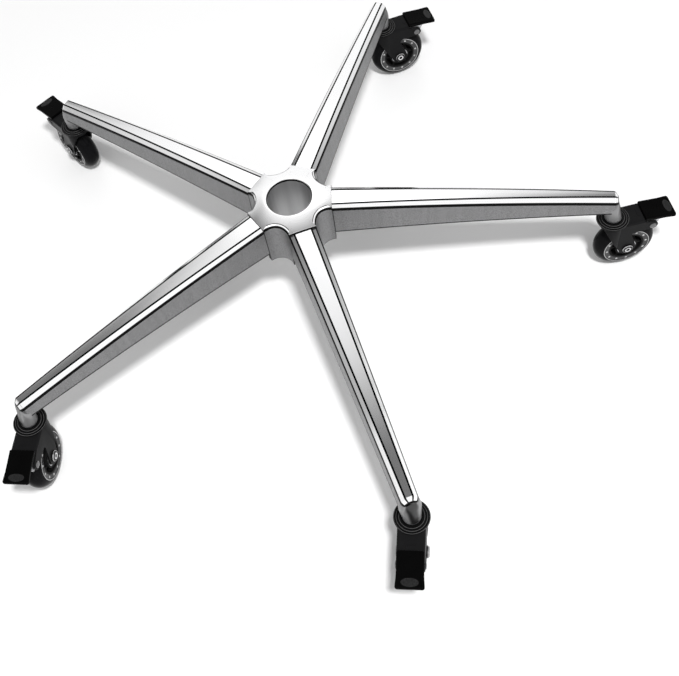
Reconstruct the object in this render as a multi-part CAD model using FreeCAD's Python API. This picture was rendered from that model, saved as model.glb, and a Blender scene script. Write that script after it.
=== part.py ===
# Five-star base of a swivel chair: a die-cast aluminium star with a tapered lift socket,
# and five braked swivel casters that plug into the ends of its arms.
# Frame: origin at the centre of the lift socket's mouth, +Z up, first arm along +X, millimetres.
import FreeCAD, Part
import math
import os

V = FreeCAD.Vector
UP = V(0, 0, 1)
ORIGIN = V(0, 0, 0)

# Hub of the casting
ARM_COUNT = 5
BORE_DIAMETER = 50.0          # lift socket at its mouth
BORE_TAPER = 1.0 / 20.0       # the socket narrows 1 mm in 20 mm of depth
BORE_RIM_CHAMFER = 0.8
HUB_DEPTH = 60.0              # from the mouth to the lower edge of the skirt
HUB_LAND_RADIUS = 30.0        # flat ring round the mouth, where the dust cover sits
HUB_DOME_RADIUS = 150.0       # the top face falls away gently from the flat ring
HUB_SWEEP_RADIUS = 17.7       # concave sweep between two arms, in plan
HUB_DRAFT = 1.2               # the skirt stands this much wider at its lower edge
HUB_RIM_BEVEL = 2.8           # narrow bevel that runs round each sweep
SLEEVE_WALL = 7.0             # metal round the socket where the arms' hollows end

# Arms of the casting
ARM_ROOT = 47.5               # station where an arm leaves the hub
ARM_CROWN = 3.2               # rise of the arm above the straight line, at mid-length
ROOT_TOP_DROP = 5.75          # top facet below the socket's mouth
TIP_TOP_DROP = 39.0
ROOT_TOP_HALF = 10.2          # half-widths of the flat top facet
TIP_TOP_HALF = 4.5
ROOT_HALF = 15.9              # half-widths over the two bevels
TIP_HALF = 9.4
ROOT_BEVEL_DROP = 2.9         # bevels fall this far from the facet to the side walls
TIP_BEVEL_DROP = 6.6
ROOT_HEIGHT = 42.0            # from the top facet to the lower edges
TIP_HEIGHT = 22.5
SIDE_DRAFT = 0.9              # lean of the upright root walls
TIP_SIDE_DRAFT = 1.6
NOSE_LENGTH = 4.3             # bevelled nose beyond the top facet
NOSE_DROP = 4.2
NOSE_INSET = 2.2
ARM_WALL = 3.6                # side walls of the open hollow under the arm
ARM_ROOF = 4.2                # metal between the bevels' foot and the hollow
RIB_COUNT = 4
RIB_THICKNESS = 2.6
RIB_RECESS = 5.0              # ribs stop this far above the lower edges

# Bosses that hold the caster stems
STEM_CIRCLE_RADIUS = 360.0    # stem axes, from the middle of the socket
ARM_TIP_INSET = 3.0           # an arm's top facet ends this far short of the stem axis
BOSS_SEAT_DROP = 79.0         # lower face of a boss, below the socket's mouth
BOSS_TOP_RADIUS = 11.6        # half-width where the boss leaves the arm's lower edges
BOSS_END_RADIUS = 9.9         # at its lower face
BOSS_BELLY = 1.4              # its outer side stands this much proud of a straight line
BOSS_SOCKET_WALL = 2.4        # casting between the stem socket and the arm's hollow

# Casters: heights are above the floor, x runs towards the pedal, y across the wheel
CASTER_HEIGHT = 87.0          # floor to the lower face of the boss
CASTER_ANGLES = (11.9, 17.2, 133.9, 264.3, 264.7)   # how each caster stands, degrees
WHEEL_TO_BOSS = 15.0          # top of the wheel below the boss
WHEEL_HALF_WIDTH = 11.6
CROWN_SHARE = 0.25            # depth of the rounded running surface, of the wheel's radius
CORE_SHARE = 0.57             # radius of the core's rim, of the wheel's radius
AXLE_TRAIL = 19.4             # axle behind the stem axis

STEM_DIAMETER = 11.0
STEM_LENGTH = 17.0
STEM_COLLAR_DIAMETER = 19.0
STEM_COLLAR_THICKNESS = 1.2
KINGPIN_DIAMETER = 9.0
KINGPIN_HEAD_DIAMETER = 14.0
KINGPIN_HEAD_HEIGHT = 2.4
GRIP_RING_HEIGHT = 2.6
GRIP_RING_WALL = 0.8
GRIP_RING_SLOT = 20.0         # degrees left open in the split ring

CAP_RADIUS = 18.5
CAP_SHEET = 0.9
CAP_STEPS = 3                 # ring lips from the collar down to the skirt
CAP_STEP_FALL = 0.65
CAP_SKIRT = 1.3
BALL_DIAMETER = 2.5
BALL_CIRCLE_RADIUS = 10.5
BALL_COUNT = 10
BALL_GROOVE_DEPTH = 0.5

PLATE_DROP = 5.0              # fork's top face below the boss
FORK_SHEET = 1.9
FORK_HALF_WIDTH = 14.2
FORK_BEND_RADIUS = 2.9
CROWN_RADIUS = 15.4
CROWN_LIP = 5.0               # depth of the turned-down lip in front
PLATE_TO_PIN = 10.3           # rear edge of the top plate ahead of the brake pin
AXLE_EYE_RADIUS = 10.0
PIN_EYE_RADIUS = 6.0
SKIRT_CORNER_RADIUS = 5.0
LEG_FRONT = 12.5              # front of the legs at the lip, ahead of the stem axis
STAMP_DEPTH = 0.4

BEARING_OUTER_RADIUS = 11.0
BEARING_BORE_RADIUS = 4.0
BEARING_WIDTH = 6.9
BEARING_OUT = 11.9            # outer faces, from the middle of the wheel
AXLE_DIAMETER = 8.0
AXLE_HEAD_DIAMETER = 13.0
AXLE_HEAD_HEIGHT = 2.9
AXLE_SCREW_DIAMETER = 6.0
HEX_KEY = 4.0
HEX_DEPTH = 1.8

BRAKE_PIN_DROP = 16.5         # brake pin below the boss
BRAKE_PIN_LIFT = 6.66         # and its axis outside the wheel
BRAKE_PIN_DIAMETER = 4.0
BRAKE_PIN_HEAD_DIAMETER = 8.0
BRAKE_PIN_HEAD_HEIGHT = 1.5
LEVER_SHEET = 1.8
LEVER_HALF_WIDTH = 11.8
LEVER_TOP = 11.3              # web's top face above the pin
LEVER_FRONT = 8.2             # web reaches this far ahead of the pin
LEVER_REACH = 22.0
LEVER_EYE_RADIUS = 4.6
LEVER_TILT = 4.0              # the released lever leans this much, degrees
BRAKE_STROKE = 16.0           # the pedal's travel, degrees
CAM_RADIUS = 3.4              # barrel round the pin, between the lever's legs
CAM_NOSE_OFFSET = 3.0         # centre of the cam's nose, from the pin
CAM_NOSE_LEAD = 44.0          # nose short of square to the leaf at full stroke, degrees
CAM_LEAF_GAP = 0.12           # nose above the leaf at full stroke
LEAF_SHEET = 1.2
LEAF_HALF_WIDTH = 8.0
LEAF_TAB_START = 2.0          # the leaf lies against the plate from just ahead of the axle
LEAF_TAB_INSET = 4.0          # and bends down this far inside the plate's edge
LEAF_CLEARANCE = 1.3          # spring leaf above the tread when released
LEAF_BEND_ANGLE = 66.0        # where on the wheel the leaf's sloping part starts and ends
LEAF_END_ANGLE = 40.0
LEAF_BEND_RISE = 0.9          # the leaf's corners stand a little clear of the tread
LEAF_END_RISE = 0.6
PEDAL_FRONT = 10.8            # moulded pedal reaches this far ahead of the pin
PEDAL_REACH = 26.0
PEDAL_HALF_FRONT = 13.6
PEDAL_HALF_REAR = 14.6
PEDAL_BOTTOM = 9.1            # underside above the pin
PEDAL_TOP = 13.9
PEDAL_END_TOP = 12.6
PEDAL_CORNER = 2.2
PAD_X = 19.6                  # oval pad, from the pin
PAD_HALF_LENGTH = 4.3
PAD_HALF_WIDTH = 9.0
PAD_RISE = 0.5

# Clearances
RUNNING_FIT = 0.1             # pins and shafts that turn in a hole, on the radius
SLIP_FIT = 0.03               # pieces that are pressed or screwed together, on the radius
SIDE_CLEARANCE = 0.3          # faces that pass each other

# Places worked out from the sizes
HALF_SECTOR = math.pi / ARM_COUNT
ARM_TIP = STEM_CIRCLE_RADIUS - ARM_TIP_INSET
FLOOR = -(BOSS_SEAT_DROP + CASTER_HEIGHT)
SLEEVE_RADIUS = BORE_DIAMETER / 2 + SLEEVE_WALL
SWEEP_CENTRE = (ROOT_HALF + HUB_SWEEP_RADIUS) / math.sin(HALF_SECTOR)
WHEEL_RADIUS = (CASTER_HEIGHT - WHEEL_TO_BOSS) / 2
TREAD_CROWN = WHEEL_RADIUS * CROWN_SHARE
CORE_RADIUS = WHEEL_RADIUS * CORE_SHARE
AXLE_HEIGHT = WHEEL_RADIUS
BRAKE_PIN_HEIGHT = CASTER_HEIGHT - BRAKE_PIN_DROP
BRAKE_PIN_X = AXLE_TRAIL + math.sqrt((WHEEL_RADIUS + BRAKE_PIN_LIFT) ** 2
                                     - (BRAKE_PIN_HEIGHT - AXLE_HEIGHT) ** 2)
FORK_PLATE_LENGTH = BRAKE_PIN_X - PLATE_TO_PIN
PLATE_TOP = CASTER_HEIGHT - PLATE_DROP
PLATE_BOTTOM = PLATE_TOP - FORK_SHEET
FORK_INNER_HALF = FORK_HALF_WIDTH - FORK_SHEET
COLLAR_BOTTOM = CASTER_HEIGHT - STEM_COLLAR_THICKNESS
STEM_SOCKET_RADIUS = STEM_DIAMETER / 2 + SLIP_FIT


def polygon(points):
    return Part.makePolygon(points + [points[0]])


def prism(points, direction):
    return Part.Face(polygon(points)).extrude(direction)


def lathe(profile, axis=UP):
    """Solid of revolution from (radius, height) points, about Z or about the wheel's Y axis."""
    if axis == UP:
        points = [V(radius, 0, height) for radius, height in profile]
    else:
        points = [V(radius, height, 0) for radius, height in profile]
    return Part.Face(polygon(points)).revolve(ORIGIN, axis, 360)


def moved(shape, x=0.0, y=0.0, z=0.0):
    copy = shape.copy()
    copy.translate(V(x, y, z))
    return copy


def turned(shape, degrees, centre=ORIGIN, axis=UP):
    copy = shape.copy()
    copy.rotate(centre, axis, degrees)
    return copy


def fused(shapes):
    return shapes[0].multiFuse(shapes[1:]).removeSplitter()


def between(root_value, tip_value, station):
    """Size of the arm at a station, running evenly from its root to its tip."""
    share = (station - ARM_ROOT) / (ARM_TIP - ARM_ROOT)
    return root_value + (tip_value - root_value) * share


def crown_rise(station):
    share = (station - ARM_ROOT) / (ARM_TIP - ARM_ROOT)
    return ARM_CROWN * 4.0 * share * (1.0 - share)


def arm_top(station):
    return crown_rise(station) - between(ROOT_TOP_DROP, TIP_TOP_DROP, station)


def arm_bottom(station):
    return arm_top(station) - between(ROOT_HEIGHT, TIP_HEIGHT, station)


# The hub

def hub_outline(grow, z):
    """Plan of the hub: five concave sweeps joined by short chords across the arm roots."""
    sweep = HUB_SWEEP_RADIUS - grow
    edges = []
    for k in range(ARM_COUNT):
        arm_angle = 2 * HALF_SECTOR * k
        middle = arm_angle + HALF_SECTOR
        centre = V(SWEEP_CENTRE * math.cos(middle), SWEEP_CENTRE * math.sin(middle), z)

        def on_sweep(angle):
            return centre + V(sweep * math.cos(angle), sweep * math.sin(angle), 0)

        start = on_sweep(arm_angle - math.pi / 2)
        deepest = on_sweep(middle + math.pi)
        end = on_sweep(arm_angle + 2 * HALF_SECTOR + math.pi / 2)
        if edges:
            edges.append(Part.makeLine(last, start))
        else:
            first = start
        edges.append(Part.Arc(start, deepest, end).toShape())
        last = end
    edges.append(Part.makeLine(last, first))
    return Part.Wire(edges)


def hub():
    block = Part.makeLoft([hub_outline(HUB_DRAFT, -HUB_DEPTH), hub_outline(0.0, 0.0)], True, True)
    land = HUB_LAND_RADIUS
    dome_centre = -math.sqrt(HUB_DOME_RADIUS ** 2 - land ** 2)
    dome = Part.makeSphere(HUB_DOME_RADIUS, V(0, 0, dome_centre))
    block = block.common(dome)
    rim = []
    for edge in block.Edges:
        middle = edge.valueAt((edge.FirstParameter + edge.LastParameter) / 2)
        level = abs(edge.Vertexes[0].Z - edge.Vertexes[-1].Z) < 0.5
        radius = math.hypot(middle.x, middle.y)
        on_sweep = land + 1.0 < radius < ARM_ROOT - 2.0
        if middle.z > -HUB_DEPTH / 4 and level and on_sweep:
            rim.append(edge)
    return block.makeChamfer(HUB_RIM_BEVEL, rim)


# The arms

def arm_section(station):
    """Six-sided section: flat top facet, two bevels, leaning side walls and a flat underside."""
    top = arm_top(station)
    bevel_foot = top - between(ROOT_BEVEL_DROP, TIP_BEVEL_DROP, station)
    bottom = arm_bottom(station)
    facet = between(ROOT_TOP_HALF, TIP_TOP_HALF, station)
    half = between(ROOT_HALF, TIP_HALF, station)
    foot = half + between(SIDE_DRAFT, TIP_SIDE_DRAFT, station)
    return [V(station, -facet, top), V(station, facet, top), V(station, half, bevel_foot),
            V(station, foot, bottom), V(station, -foot, bottom), V(station, -half, bevel_foot)]


def nose_section():
    """End of the bevelled nose, a little lower and narrower than the arm's last section."""
    points = []
    for p in arm_section(ARM_TIP):
        side = 1 if p.y > 0 else -1
        lower = abs(p.z - arm_bottom(ARM_TIP)) < 0.01
        drop = 0.0 if lower else NOSE_DROP * (1.0 if abs(p.y) < TIP_HALF - 0.1 else 0.4)
        points.append(V(ARM_TIP + NOSE_LENGTH, p.y - side * NOSE_INSET, p.z - drop))
    return points


def stations(first, last, count):
    return [first + (last - first) * i / (count - 1) for i in range(count)]


def arm_body():
    inside_hub = BORE_DIAMETER / 2 + SLEEVE_WALL
    wires = [polygon(arm_section(s)) for s in stations(inside_hub, ARM_TIP, 5)]
    beam = Part.makeLoft(wires, True, False)
    nose = Part.makeLoft([polygon(arm_section(ARM_TIP)), polygon(nose_section())], True, True)
    return beam, nose


def rounded_rectangle(x, half_x, half_y, corner, z):
    """Rectangle with round corners, as four sides and four arcs."""
    slant = corner * (1.0 - math.sqrt(0.5))
    edges = []
    for turn in range(4):
        along, across = (half_x, half_y) if turn % 2 == 0 else (half_y, half_x)
        side_start = V(along, -(across - corner), 0)
        side_end = V(along, across - corner, 0)
        corner_middle = V(along - slant, across - slant, 0)
        corner_end = V(along - corner, across, 0)
        pieces = [Part.makeLine(side_start, side_end),
                  Part.Arc(side_end, corner_middle, corner_end).toShape()]
        for piece in pieces:
            piece.rotate(ORIGIN, UP, 90 * turn)
            piece.translate(V(x, 0, z))
            edges.append(piece)
    return Part.Wire(edges)


def boss():
    """The square arm end runs down into a round boss, whose outer side leans out to its foot."""
    top = arm_top(ARM_TIP) - TIP_BEVEL_DROP
    shoulder = arm_bottom(ARM_TIP)
    nose_end = ARM_TIP + NOSE_LENGTH
    half_length = BOSS_TOP_RADIUS * 0.6
    share = (top - shoulder) / (top + BOSS_SEAT_DROP)
    reach = nose_end + (STEM_CIRCLE_RADIUS + BOSS_END_RADIUS - nose_end) * share + BOSS_BELLY
    head = rounded_rectangle(nose_end - half_length, half_length, TIP_HALF - NOSE_INSET / 2, 2.5, top)
    middle = rounded_rectangle(reach - BOSS_TOP_RADIUS, BOSS_TOP_RADIUS, BOSS_TOP_RADIUS,
                               BOSS_TOP_RADIUS * 0.75, shoulder)
    foot = rounded_rectangle(STEM_CIRCLE_RADIUS, BOSS_END_RADIUS, BOSS_END_RADIUS,
                             BOSS_END_RADIUS - 0.1, -BOSS_SEAT_DROP)
    return Part.makeLoft([head, middle], True, True), Part.makeLoft([middle, foot], True, True)


def hollow_section(station):
    """Section of the open hollow under an arm."""
    roof = arm_top(station) - between(ROOT_BEVEL_DROP, TIP_BEVEL_DROP, station) - ARM_ROOF
    below = arm_bottom(station) - HUB_DEPTH / 2
    half = between(ROOT_HALF, TIP_HALF, station)
    foot = half + between(SIDE_DRAFT, TIP_SIDE_DRAFT, station)
    lean = (foot - half) / (arm_top(station) - arm_bottom(station))
    low_half = foot - ARM_WALL + lean * HUB_DEPTH / 2
    return [V(station, -(half - ARM_WALL), roof), V(station, half - ARM_WALL, roof),
            V(station, low_half, below), V(station, -low_half, below)]


def arm_hollow():
    """Hollow under an arm, left solid where the cross ribs stand."""
    inner_end = SLEEVE_RADIUS
    outer_end = STEM_CIRCLE_RADIUS - STEM_SOCKET_RADIUS - BOSS_SOCKET_WALL - BOSS_TOP_RADIUS / 2
    wires = [polygon(hollow_section(s)) for s in stations(inner_end, outer_end, 5)]
    tool = Part.makeLoft(wires, True, False)
    pitch = (outer_end - ARM_ROOT) / (RIB_COUNT + 1)
    for i in range(RIB_COUNT):
        station = ARM_ROOT + pitch * (i + 1)
        low = arm_bottom(station) + RIB_RECESS
        rib = Part.makeBox(RIB_THICKNESS, 4 * ROOT_HALF, -low,
                           V(station - RIB_THICKNESS / 2, -2 * ROOT_HALF, low))
        tool = tool.cut(rib)
    return tool


def base_casting():
    bodies = [hub()]
    hollows = []
    beam, nose = arm_body()
    boss_upper, boss_lower = boss()
    arm = fused([beam, nose, boss_upper, boss_lower])
    hollow = arm_hollow()
    socket_depth = STEM_LENGTH + 1.0
    socket = Part.makeCylinder(STEM_SOCKET_RADIUS, socket_depth,
                               V(STEM_CIRCLE_RADIUS, 0, -BOSS_SEAT_DROP), UP)
    for k in range(ARM_COUNT):
        angle = 360.0 * k / ARM_COUNT
        bodies.append(turned(arm, angle))
        hollows.append(turned(hollow, angle))
        hollows.append(turned(socket, angle))
    casting = fused(bodies)
    mouth = BORE_DIAMETER / 2
    depth = HUB_DEPTH + 10.0
    bore = lathe([(0, 0.0), (0, -depth), (mouth - depth * BORE_TAPER / 2, -depth), (mouth, 0.0),
                  (mouth + BORE_RIM_CHAMFER * 2, BORE_RIM_CHAMFER * 2), (0, BORE_RIM_CHAMFER * 2)])
    chamfer = lathe([(0, -BORE_RIM_CHAMFER), (mouth - BORE_RIM_CHAMFER * BORE_TAPER / 2, -BORE_RIM_CHAMFER),
                     (mouth + BORE_RIM_CHAMFER * 2, BORE_RIM_CHAMFER), (0, BORE_RIM_CHAMFER)])
    return casting.cut([bore, chamfer] + hollows)


# The caster's fixed pieces

def caster_stem():
    """Shank with its ring groove, collar under the boss, and the kingpin with its riveted head."""
    shank = STEM_DIAMETER / 2
    top = CASTER_HEIGHT + STEM_LENGTH
    groove_top = top - 5.0
    groove_bottom = groove_top - GRIP_RING_HEIGHT - 0.4
    groove = shank - GRIP_RING_WALL - 0.1
    kingpin = KINGPIN_DIAMETER / 2
    head_top = PLATE_BOTTOM - SIDE_CLEARANCE
    head = KINGPIN_HEAD_DIAMETER / 2
    return lathe([(0, top), (shank - 1.5, top), (shank, top - 1.5), (shank, groove_top),
                  (groove, groove_top), (groove, groove_bottom), (shank, groove_bottom),
                  (shank, CASTER_HEIGHT), (STEM_COLLAR_DIAMETER / 2, CASTER_HEIGHT),
                  (STEM_COLLAR_DIAMETER / 2, COLLAR_BOTTOM), (kingpin, COLLAR_BOTTOM),
                  (kingpin, head_top), (head, head_top), (head, head_top - KINGPIN_HEAD_HEIGHT * 0.4),
                  (head * 0.6, head_top - KINGPIN_HEAD_HEIGHT), (0, head_top - KINGPIN_HEAD_HEIGHT)])


def stem_grip_ring():
    outer = STEM_DIAMETER / 2
    bottom = CASTER_HEIGHT + STEM_LENGTH - 5.0 - GRIP_RING_HEIGHT - 0.2
    inner = outer - GRIP_RING_WALL
    section = prism([V(inner, 0, bottom), V(outer, 0, bottom), V(outer, 0, bottom + GRIP_RING_HEIGHT),
                     V(inner, 0, bottom + GRIP_RING_HEIGHT)], V(0, 0.001, 0)).Faces
    profile = max(section, key=lambda face: face.Area)
    return profile.revolve(ORIGIN, UP, 360 - GRIP_RING_SLOT)


def race_cap():
    """Pressed cap over the ball race, stepped down in ring lips to a short skirt."""
    first = STEM_COLLAR_DIAMETER / 2 + CAP_SHEET
    tread = (CAP_RADIUS - first) / CAP_STEPS
    outer = [(KINGPIN_DIAMETER / 2 + SLIP_FIT, COLLAR_BOTTOM), (first, COLLAR_BOTTOM)]
    for i in range(CAP_STEPS):
        level = COLLAR_BOTTOM - CAP_STEP_FALL * (i + 1)
        outer.append((first + tread * i, level))
        outer.append((first + tread * (i + 1), level))
    skirt_bottom = outer[-1][1] - CAP_SKIRT
    outer.append((CAP_RADIUS, skirt_bottom))
    inner = [(CAP_RADIUS - CAP_SHEET, skirt_bottom)]
    for radius, level in reversed(outer[:-1]):
        inner.append((max(radius - CAP_SHEET, KINGPIN_DIAMETER / 2 + SLIP_FIT), level - CAP_SHEET))
    return lathe(outer + inner)


# The fork

def channel(radius, half, top, bend):
    """Block with a round front and two flat cheeks, and a bend radius round its top."""
    join = math.sqrt(radius ** 2 - half ** 2)
    rear = BRAKE_PIN_X + 2 * PIN_EYE_RADIUS
    plan = Part.Wire([Part.Arc(V(join, half, 0), V(-radius, 0, 0), V(join, -half, 0)).toShape(),
                      Part.makeLine(V(join, -half, 0), V(rear, -half, 0)),
                      Part.makeLine(V(rear, -half, 0), V(rear, half, 0)),
                      Part.makeLine(V(rear, half, 0), V(join, half, 0))])
    block = Part.Face(plan).extrude(V(0, 0, top))
    bend_edges = [e for e in block.Edges
                  if e.BoundBox.ZMin > top - 0.01 and e.CenterOfMass.x < rear - 1.0]
    return block.makeFillet(bend, bend_edges)


def tangent_point(x, z, centre_x, centre_z, radius, side):
    """Where a line from a point touches a circle; side is +1 or -1 for its two tangents."""
    dx = centre_x - x
    dz = centre_z - z
    distance = math.hypot(dx, dz)
    length = math.sqrt(distance ** 2 - radius ** 2)
    angle = math.atan2(dz, dx) + side * math.asin(radius / distance)
    return V(x + length * math.cos(angle), 0, z + length * math.sin(angle))


def cheek_profile():
    """Side view of the fork: top plate, leg down to the axle, and skirt back to the brake pin."""
    lip = PLATE_TOP - CROWN_LIP
    plate_end = FORK_PLATE_LENGTH
    cheek_top = PLATE_BOTTOM - 0.6
    skirt = BRAKE_PIN_HEIGHT - PIN_EYE_RADIUS
    leg_rear = AXLE_TRAIL
    above = CASTER_HEIGHT + 10.0
    ahead = -2 * CROWN_RADIUS
    pin_top = tangent_point(plate_end, cheek_top, BRAKE_PIN_X, BRAKE_PIN_HEIGHT, PIN_EYE_RADIUS, 1)
    pin_rear = V(BRAKE_PIN_X + PIN_EYE_RADIUS, 0, BRAKE_PIN_HEIGHT)
    pin_bottom = V(BRAKE_PIN_X, 0, skirt)
    axle_rear = tangent_point(leg_rear, skirt, AXLE_TRAIL, AXLE_HEIGHT, AXLE_EYE_RADIUS, 1)
    axle_low = V(AXLE_TRAIL, 0, AXLE_HEIGHT - AXLE_EYE_RADIUS)
    axle_front = tangent_point(-LEG_FRONT, lip, AXLE_TRAIL, AXLE_HEIGHT, AXLE_EYE_RADIUS, -1)
    corner = V(leg_rear, 0, skirt)
    leg_line = (axle_rear - corner).normalize()
    on_leg = corner + leg_line * SKIRT_CORNER_RADIUS
    on_skirt = corner + V(SKIRT_CORNER_RADIUS, 0, 0)
    bulge = (on_leg + on_skirt) * 0.5
    corner_middle = bulge + (corner - bulge) * 0.41
    front = V(-LEG_FRONT, 0, lip)
    return Part.Wire([
        Part.makeLine(V(ahead, 0, above), V(plate_end, 0, above)),
        Part.makeLine(V(plate_end, 0, above), V(plate_end, 0, cheek_top)),
        Part.makeLine(V(plate_end, 0, cheek_top), pin_top),
        Part.Arc(pin_top, pin_rear, pin_bottom).toShape(),
        Part.makeLine(pin_bottom, on_skirt),
        Part.Arc(on_skirt, corner_middle, on_leg).toShape(),
        Part.makeLine(on_leg, axle_rear),
        Part.Arc(axle_rear, axle_low, axle_front).toShape(),
        Part.makeLine(axle_front, front),
        Part.makeLine(front, V(ahead, 0, lip)),
        Part.makeLine(V(ahead, 0, lip), V(ahead, 0, above))])


def cross_hole(radius, x, z):
    return Part.makeCylinder(radius, 4 * FORK_HALF_WIDTH, V(x, -2 * FORK_HALF_WIDTH, z), V(0, 1, 0))


def fork():
    outer = channel(CROWN_RADIUS, FORK_HALF_WIDTH, PLATE_TOP, FORK_BEND_RADIUS)
    inner = channel(CROWN_RADIUS - FORK_SHEET, FORK_INNER_HALF, PLATE_BOTTOM,
                    FORK_BEND_RADIUS - FORK_SHEET)
    side = Part.Face(cheek_profile()).extrude(V(0, 4 * FORK_HALF_WIDTH, 0))
    side = moved(side, y=-2 * FORK_HALF_WIDTH)
    sheet = outer.cut(inner).common(side)
    kingpin_hole = Part.makeCylinder(KINGPIN_DIAMETER / 2 + RUNNING_FIT, 4 * FORK_SHEET,
                                     V(0, 0, PLATE_BOTTOM - FORK_SHEET), UP)
    axle_hole = cross_hole(AXLE_DIAMETER / 2 + RUNNING_FIT, AXLE_TRAIL, AXLE_HEIGHT)
    pin_hole = cross_hole(BRAKE_PIN_DIAMETER / 2 + SLIP_FIT, BRAKE_PIN_X, BRAKE_PIN_HEIGHT)
    ball_radius = BALL_DIAMETER / 2 + SLIP_FIT
    groove = Part.makeTorus(BALL_CIRCLE_RADIUS, ball_radius,
                            V(0, 0, PLATE_TOP - BALL_GROOVE_DEPTH + ball_radius), UP)
    stamp_x = FORK_PLATE_LENGTH - 6.5
    stamp_bottom = PLATE_TOP - STAMP_DEPTH
    stamp_line = Part.makeBox(1.0, 11.0, 1.0, V(stamp_x, -5.5, stamp_bottom))
    stamp_foot = Part.makeBox(4.0, 1.0, 1.0, V(stamp_x, -5.5, stamp_bottom))
    return sheet.cut([kingpin_hole, axle_hole, pin_hole, groove, stamp_line, stamp_foot])


def race_balls():
    height = PLATE_TOP - BALL_GROOVE_DEPTH + BALL_DIAMETER / 2 + SLIP_FIT
    balls = []
    for i in range(BALL_COUNT):
        angle = 2 * math.pi * i / BALL_COUNT
        centre = V(BALL_CIRCLE_RADIUS * math.cos(angle), BALL_CIRCLE_RADIUS * math.sin(angle), height)
        balls.append(Part.makeSphere(BALL_DIAMETER / 2, centre))
    return Part.makeCompound(balls)


# Wheel, bearings and axle, all about the wheel's own Y axis

WHEEL_AXIS = V(0, 1, 0)


def on_axle(shape):
    return moved(shape, x=AXLE_TRAIL, z=AXLE_HEIGHT)


def axle_head(side):
    """Low domed head with a hexagon recess, standing on the fork's outer face."""
    face = FORK_HALF_WIDTH
    head = AXLE_HEAD_DIAMETER / 2
    top = face + AXLE_HEAD_HEIGHT
    dome = lathe([(0, face), (head, face), (head, face + AXLE_HEAD_HEIGHT * 0.35),
                  (head * 0.8, face + AXLE_HEAD_HEIGHT * 0.75), (head * 0.5, top), (0, top)], WHEEL_AXIS)
    hexagon = []
    for i in range(6):
        angle = math.pi * i / 3
        reach = HEX_KEY / math.sqrt(3)
        hexagon.append(V(reach * math.cos(angle), top - HEX_DEPTH, reach * math.sin(angle)))
    dome = dome.cut(prism(hexagon, V(0, 2 * HEX_DEPTH, 0)))
    if side < 0:
        dome = turned(dome, 180)
    return dome


def axle_barrel():
    """Internally threaded barrel: its head is on the near cheek, and it runs through both."""
    radius = AXLE_DIAMETER / 2
    end = FORK_HALF_WIDTH - SIDE_CLEARANCE
    screw = AXLE_SCREW_DIAMETER / 2 + SLIP_FIT
    body = lathe([(0, -FORK_HALF_WIDTH), (radius, -FORK_HALF_WIDTH), (radius, end), (screw, end),
                  (screw, 0.0), (0, 0.0)], WHEEL_AXIS)
    return on_axle(fused([axle_head(-1), body]))


def axle_screw():
    radius = AXLE_SCREW_DIAMETER / 2
    shank = lathe([(0, 1.0), (radius, 1.0), (radius, FORK_HALF_WIDTH), (0, FORK_HALF_WIDTH)], WHEEL_AXIS)
    return on_axle(fused([axle_head(1), shank]))


def wheel_tread():
    """Rounded running band, locked over the core's anchor rib."""
    side = WHEEL_RADIUS - TREAD_CROWN
    rib = CORE_RADIUS + 2.5
    half = WHEEL_HALF_WIDTH
    edges = [
        Part.Arc(V(side, -half, 0), V(WHEEL_RADIUS, 0, 0), V(side, half, 0)).toShape()]
    rest = [V(side, half, 0), V(CORE_RADIUS, half - 0.7, 0), V(CORE_RADIUS, 3.0, 0), V(rib, 3.0, 0),
            V(rib, -3.0, 0), V(CORE_RADIUS, -3.0, 0), V(CORE_RADIUS, -half + 0.7, 0), V(side, -half, 0)]
    for start, end in zip(rest, rest[1:]):
        edges.append(Part.makeLine(start, end))
    band = Part.Face(Part.Wire(edges)).revolve(ORIGIN, WHEEL_AXIS, 360)
    return on_axle(band)


def wheel_core():
    """Moulded core: bearing seats, a thin web with six spokes a side, a rim and an anchor rib."""
    seat = BEARING_OUTER_RADIUS + SLIP_FIT
    seat_bottom = BEARING_OUT - BEARING_WIDTH - SLIP_FIT
    hub_half = WHEEL_HALF_WIDTH
    hub_wall = seat + 2.2
    rim_inner = CORE_RADIUS - 1.8
    rim_half = WHEEL_HALF_WIDTH - 0.7
    rib = CORE_RADIUS + 2.5 - SLIP_FIT
    outer = CORE_RADIUS - SLIP_FIT
    rib_half = 3.0 - SLIP_FIT
    web_half = 2.0
    throat = BEARING_BORE_RADIUS + 2.0
    half = [(throat, 0.0), (throat, seat_bottom), (seat, seat_bottom), (seat, hub_half),
            (hub_wall, hub_half), (hub_wall, web_half), (rim_inner, web_half), (rim_inner, rim_half),
            (outer, rim_half), (outer, rib_half), (rib, rib_half), (rib, 0.0)]
    mirrored = [(radius, -y) for radius, y in reversed(half[1:-1])]
    core = lathe(half + mirrored, WHEEL_AXIS)
    spokes = []
    for i in range(6):
        spoke = Part.makeBox(rim_inner - hub_wall + 1.0, 2 * (rim_half - 2.0), 2.4,
                             V(hub_wall - 0.5, -(rim_half - 2.0), -1.2))
        spokes.append(turned(spoke, 60 * i, ORIGIN, WHEEL_AXIS))
    return on_axle(fused([core] + spokes))


def wheel_bearings():
    """Two shielded ball bearings, each with a shallow ring groove where its shield sits."""
    inner = BEARING_BORE_RADIUS + RUNNING_FIT
    outer = BEARING_OUTER_RADIUS
    face = BEARING_OUT
    back = BEARING_OUT - BEARING_WIDTH
    shield = 0.4
    profile = [(inner, back), (outer, back), (outer, face), (outer - 1.6, face),
               (outer - 1.6, face - shield), (inner + 2.2, face - shield), (inner + 2.2, face),
               (inner, face)]
    near = lathe(profile, WHEEL_AXIS)
    far = turned(near, 180)
    return on_axle(Part.makeCompound([near, far]))


# The brake, built level about its own pin and then leaned to its released position

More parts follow.
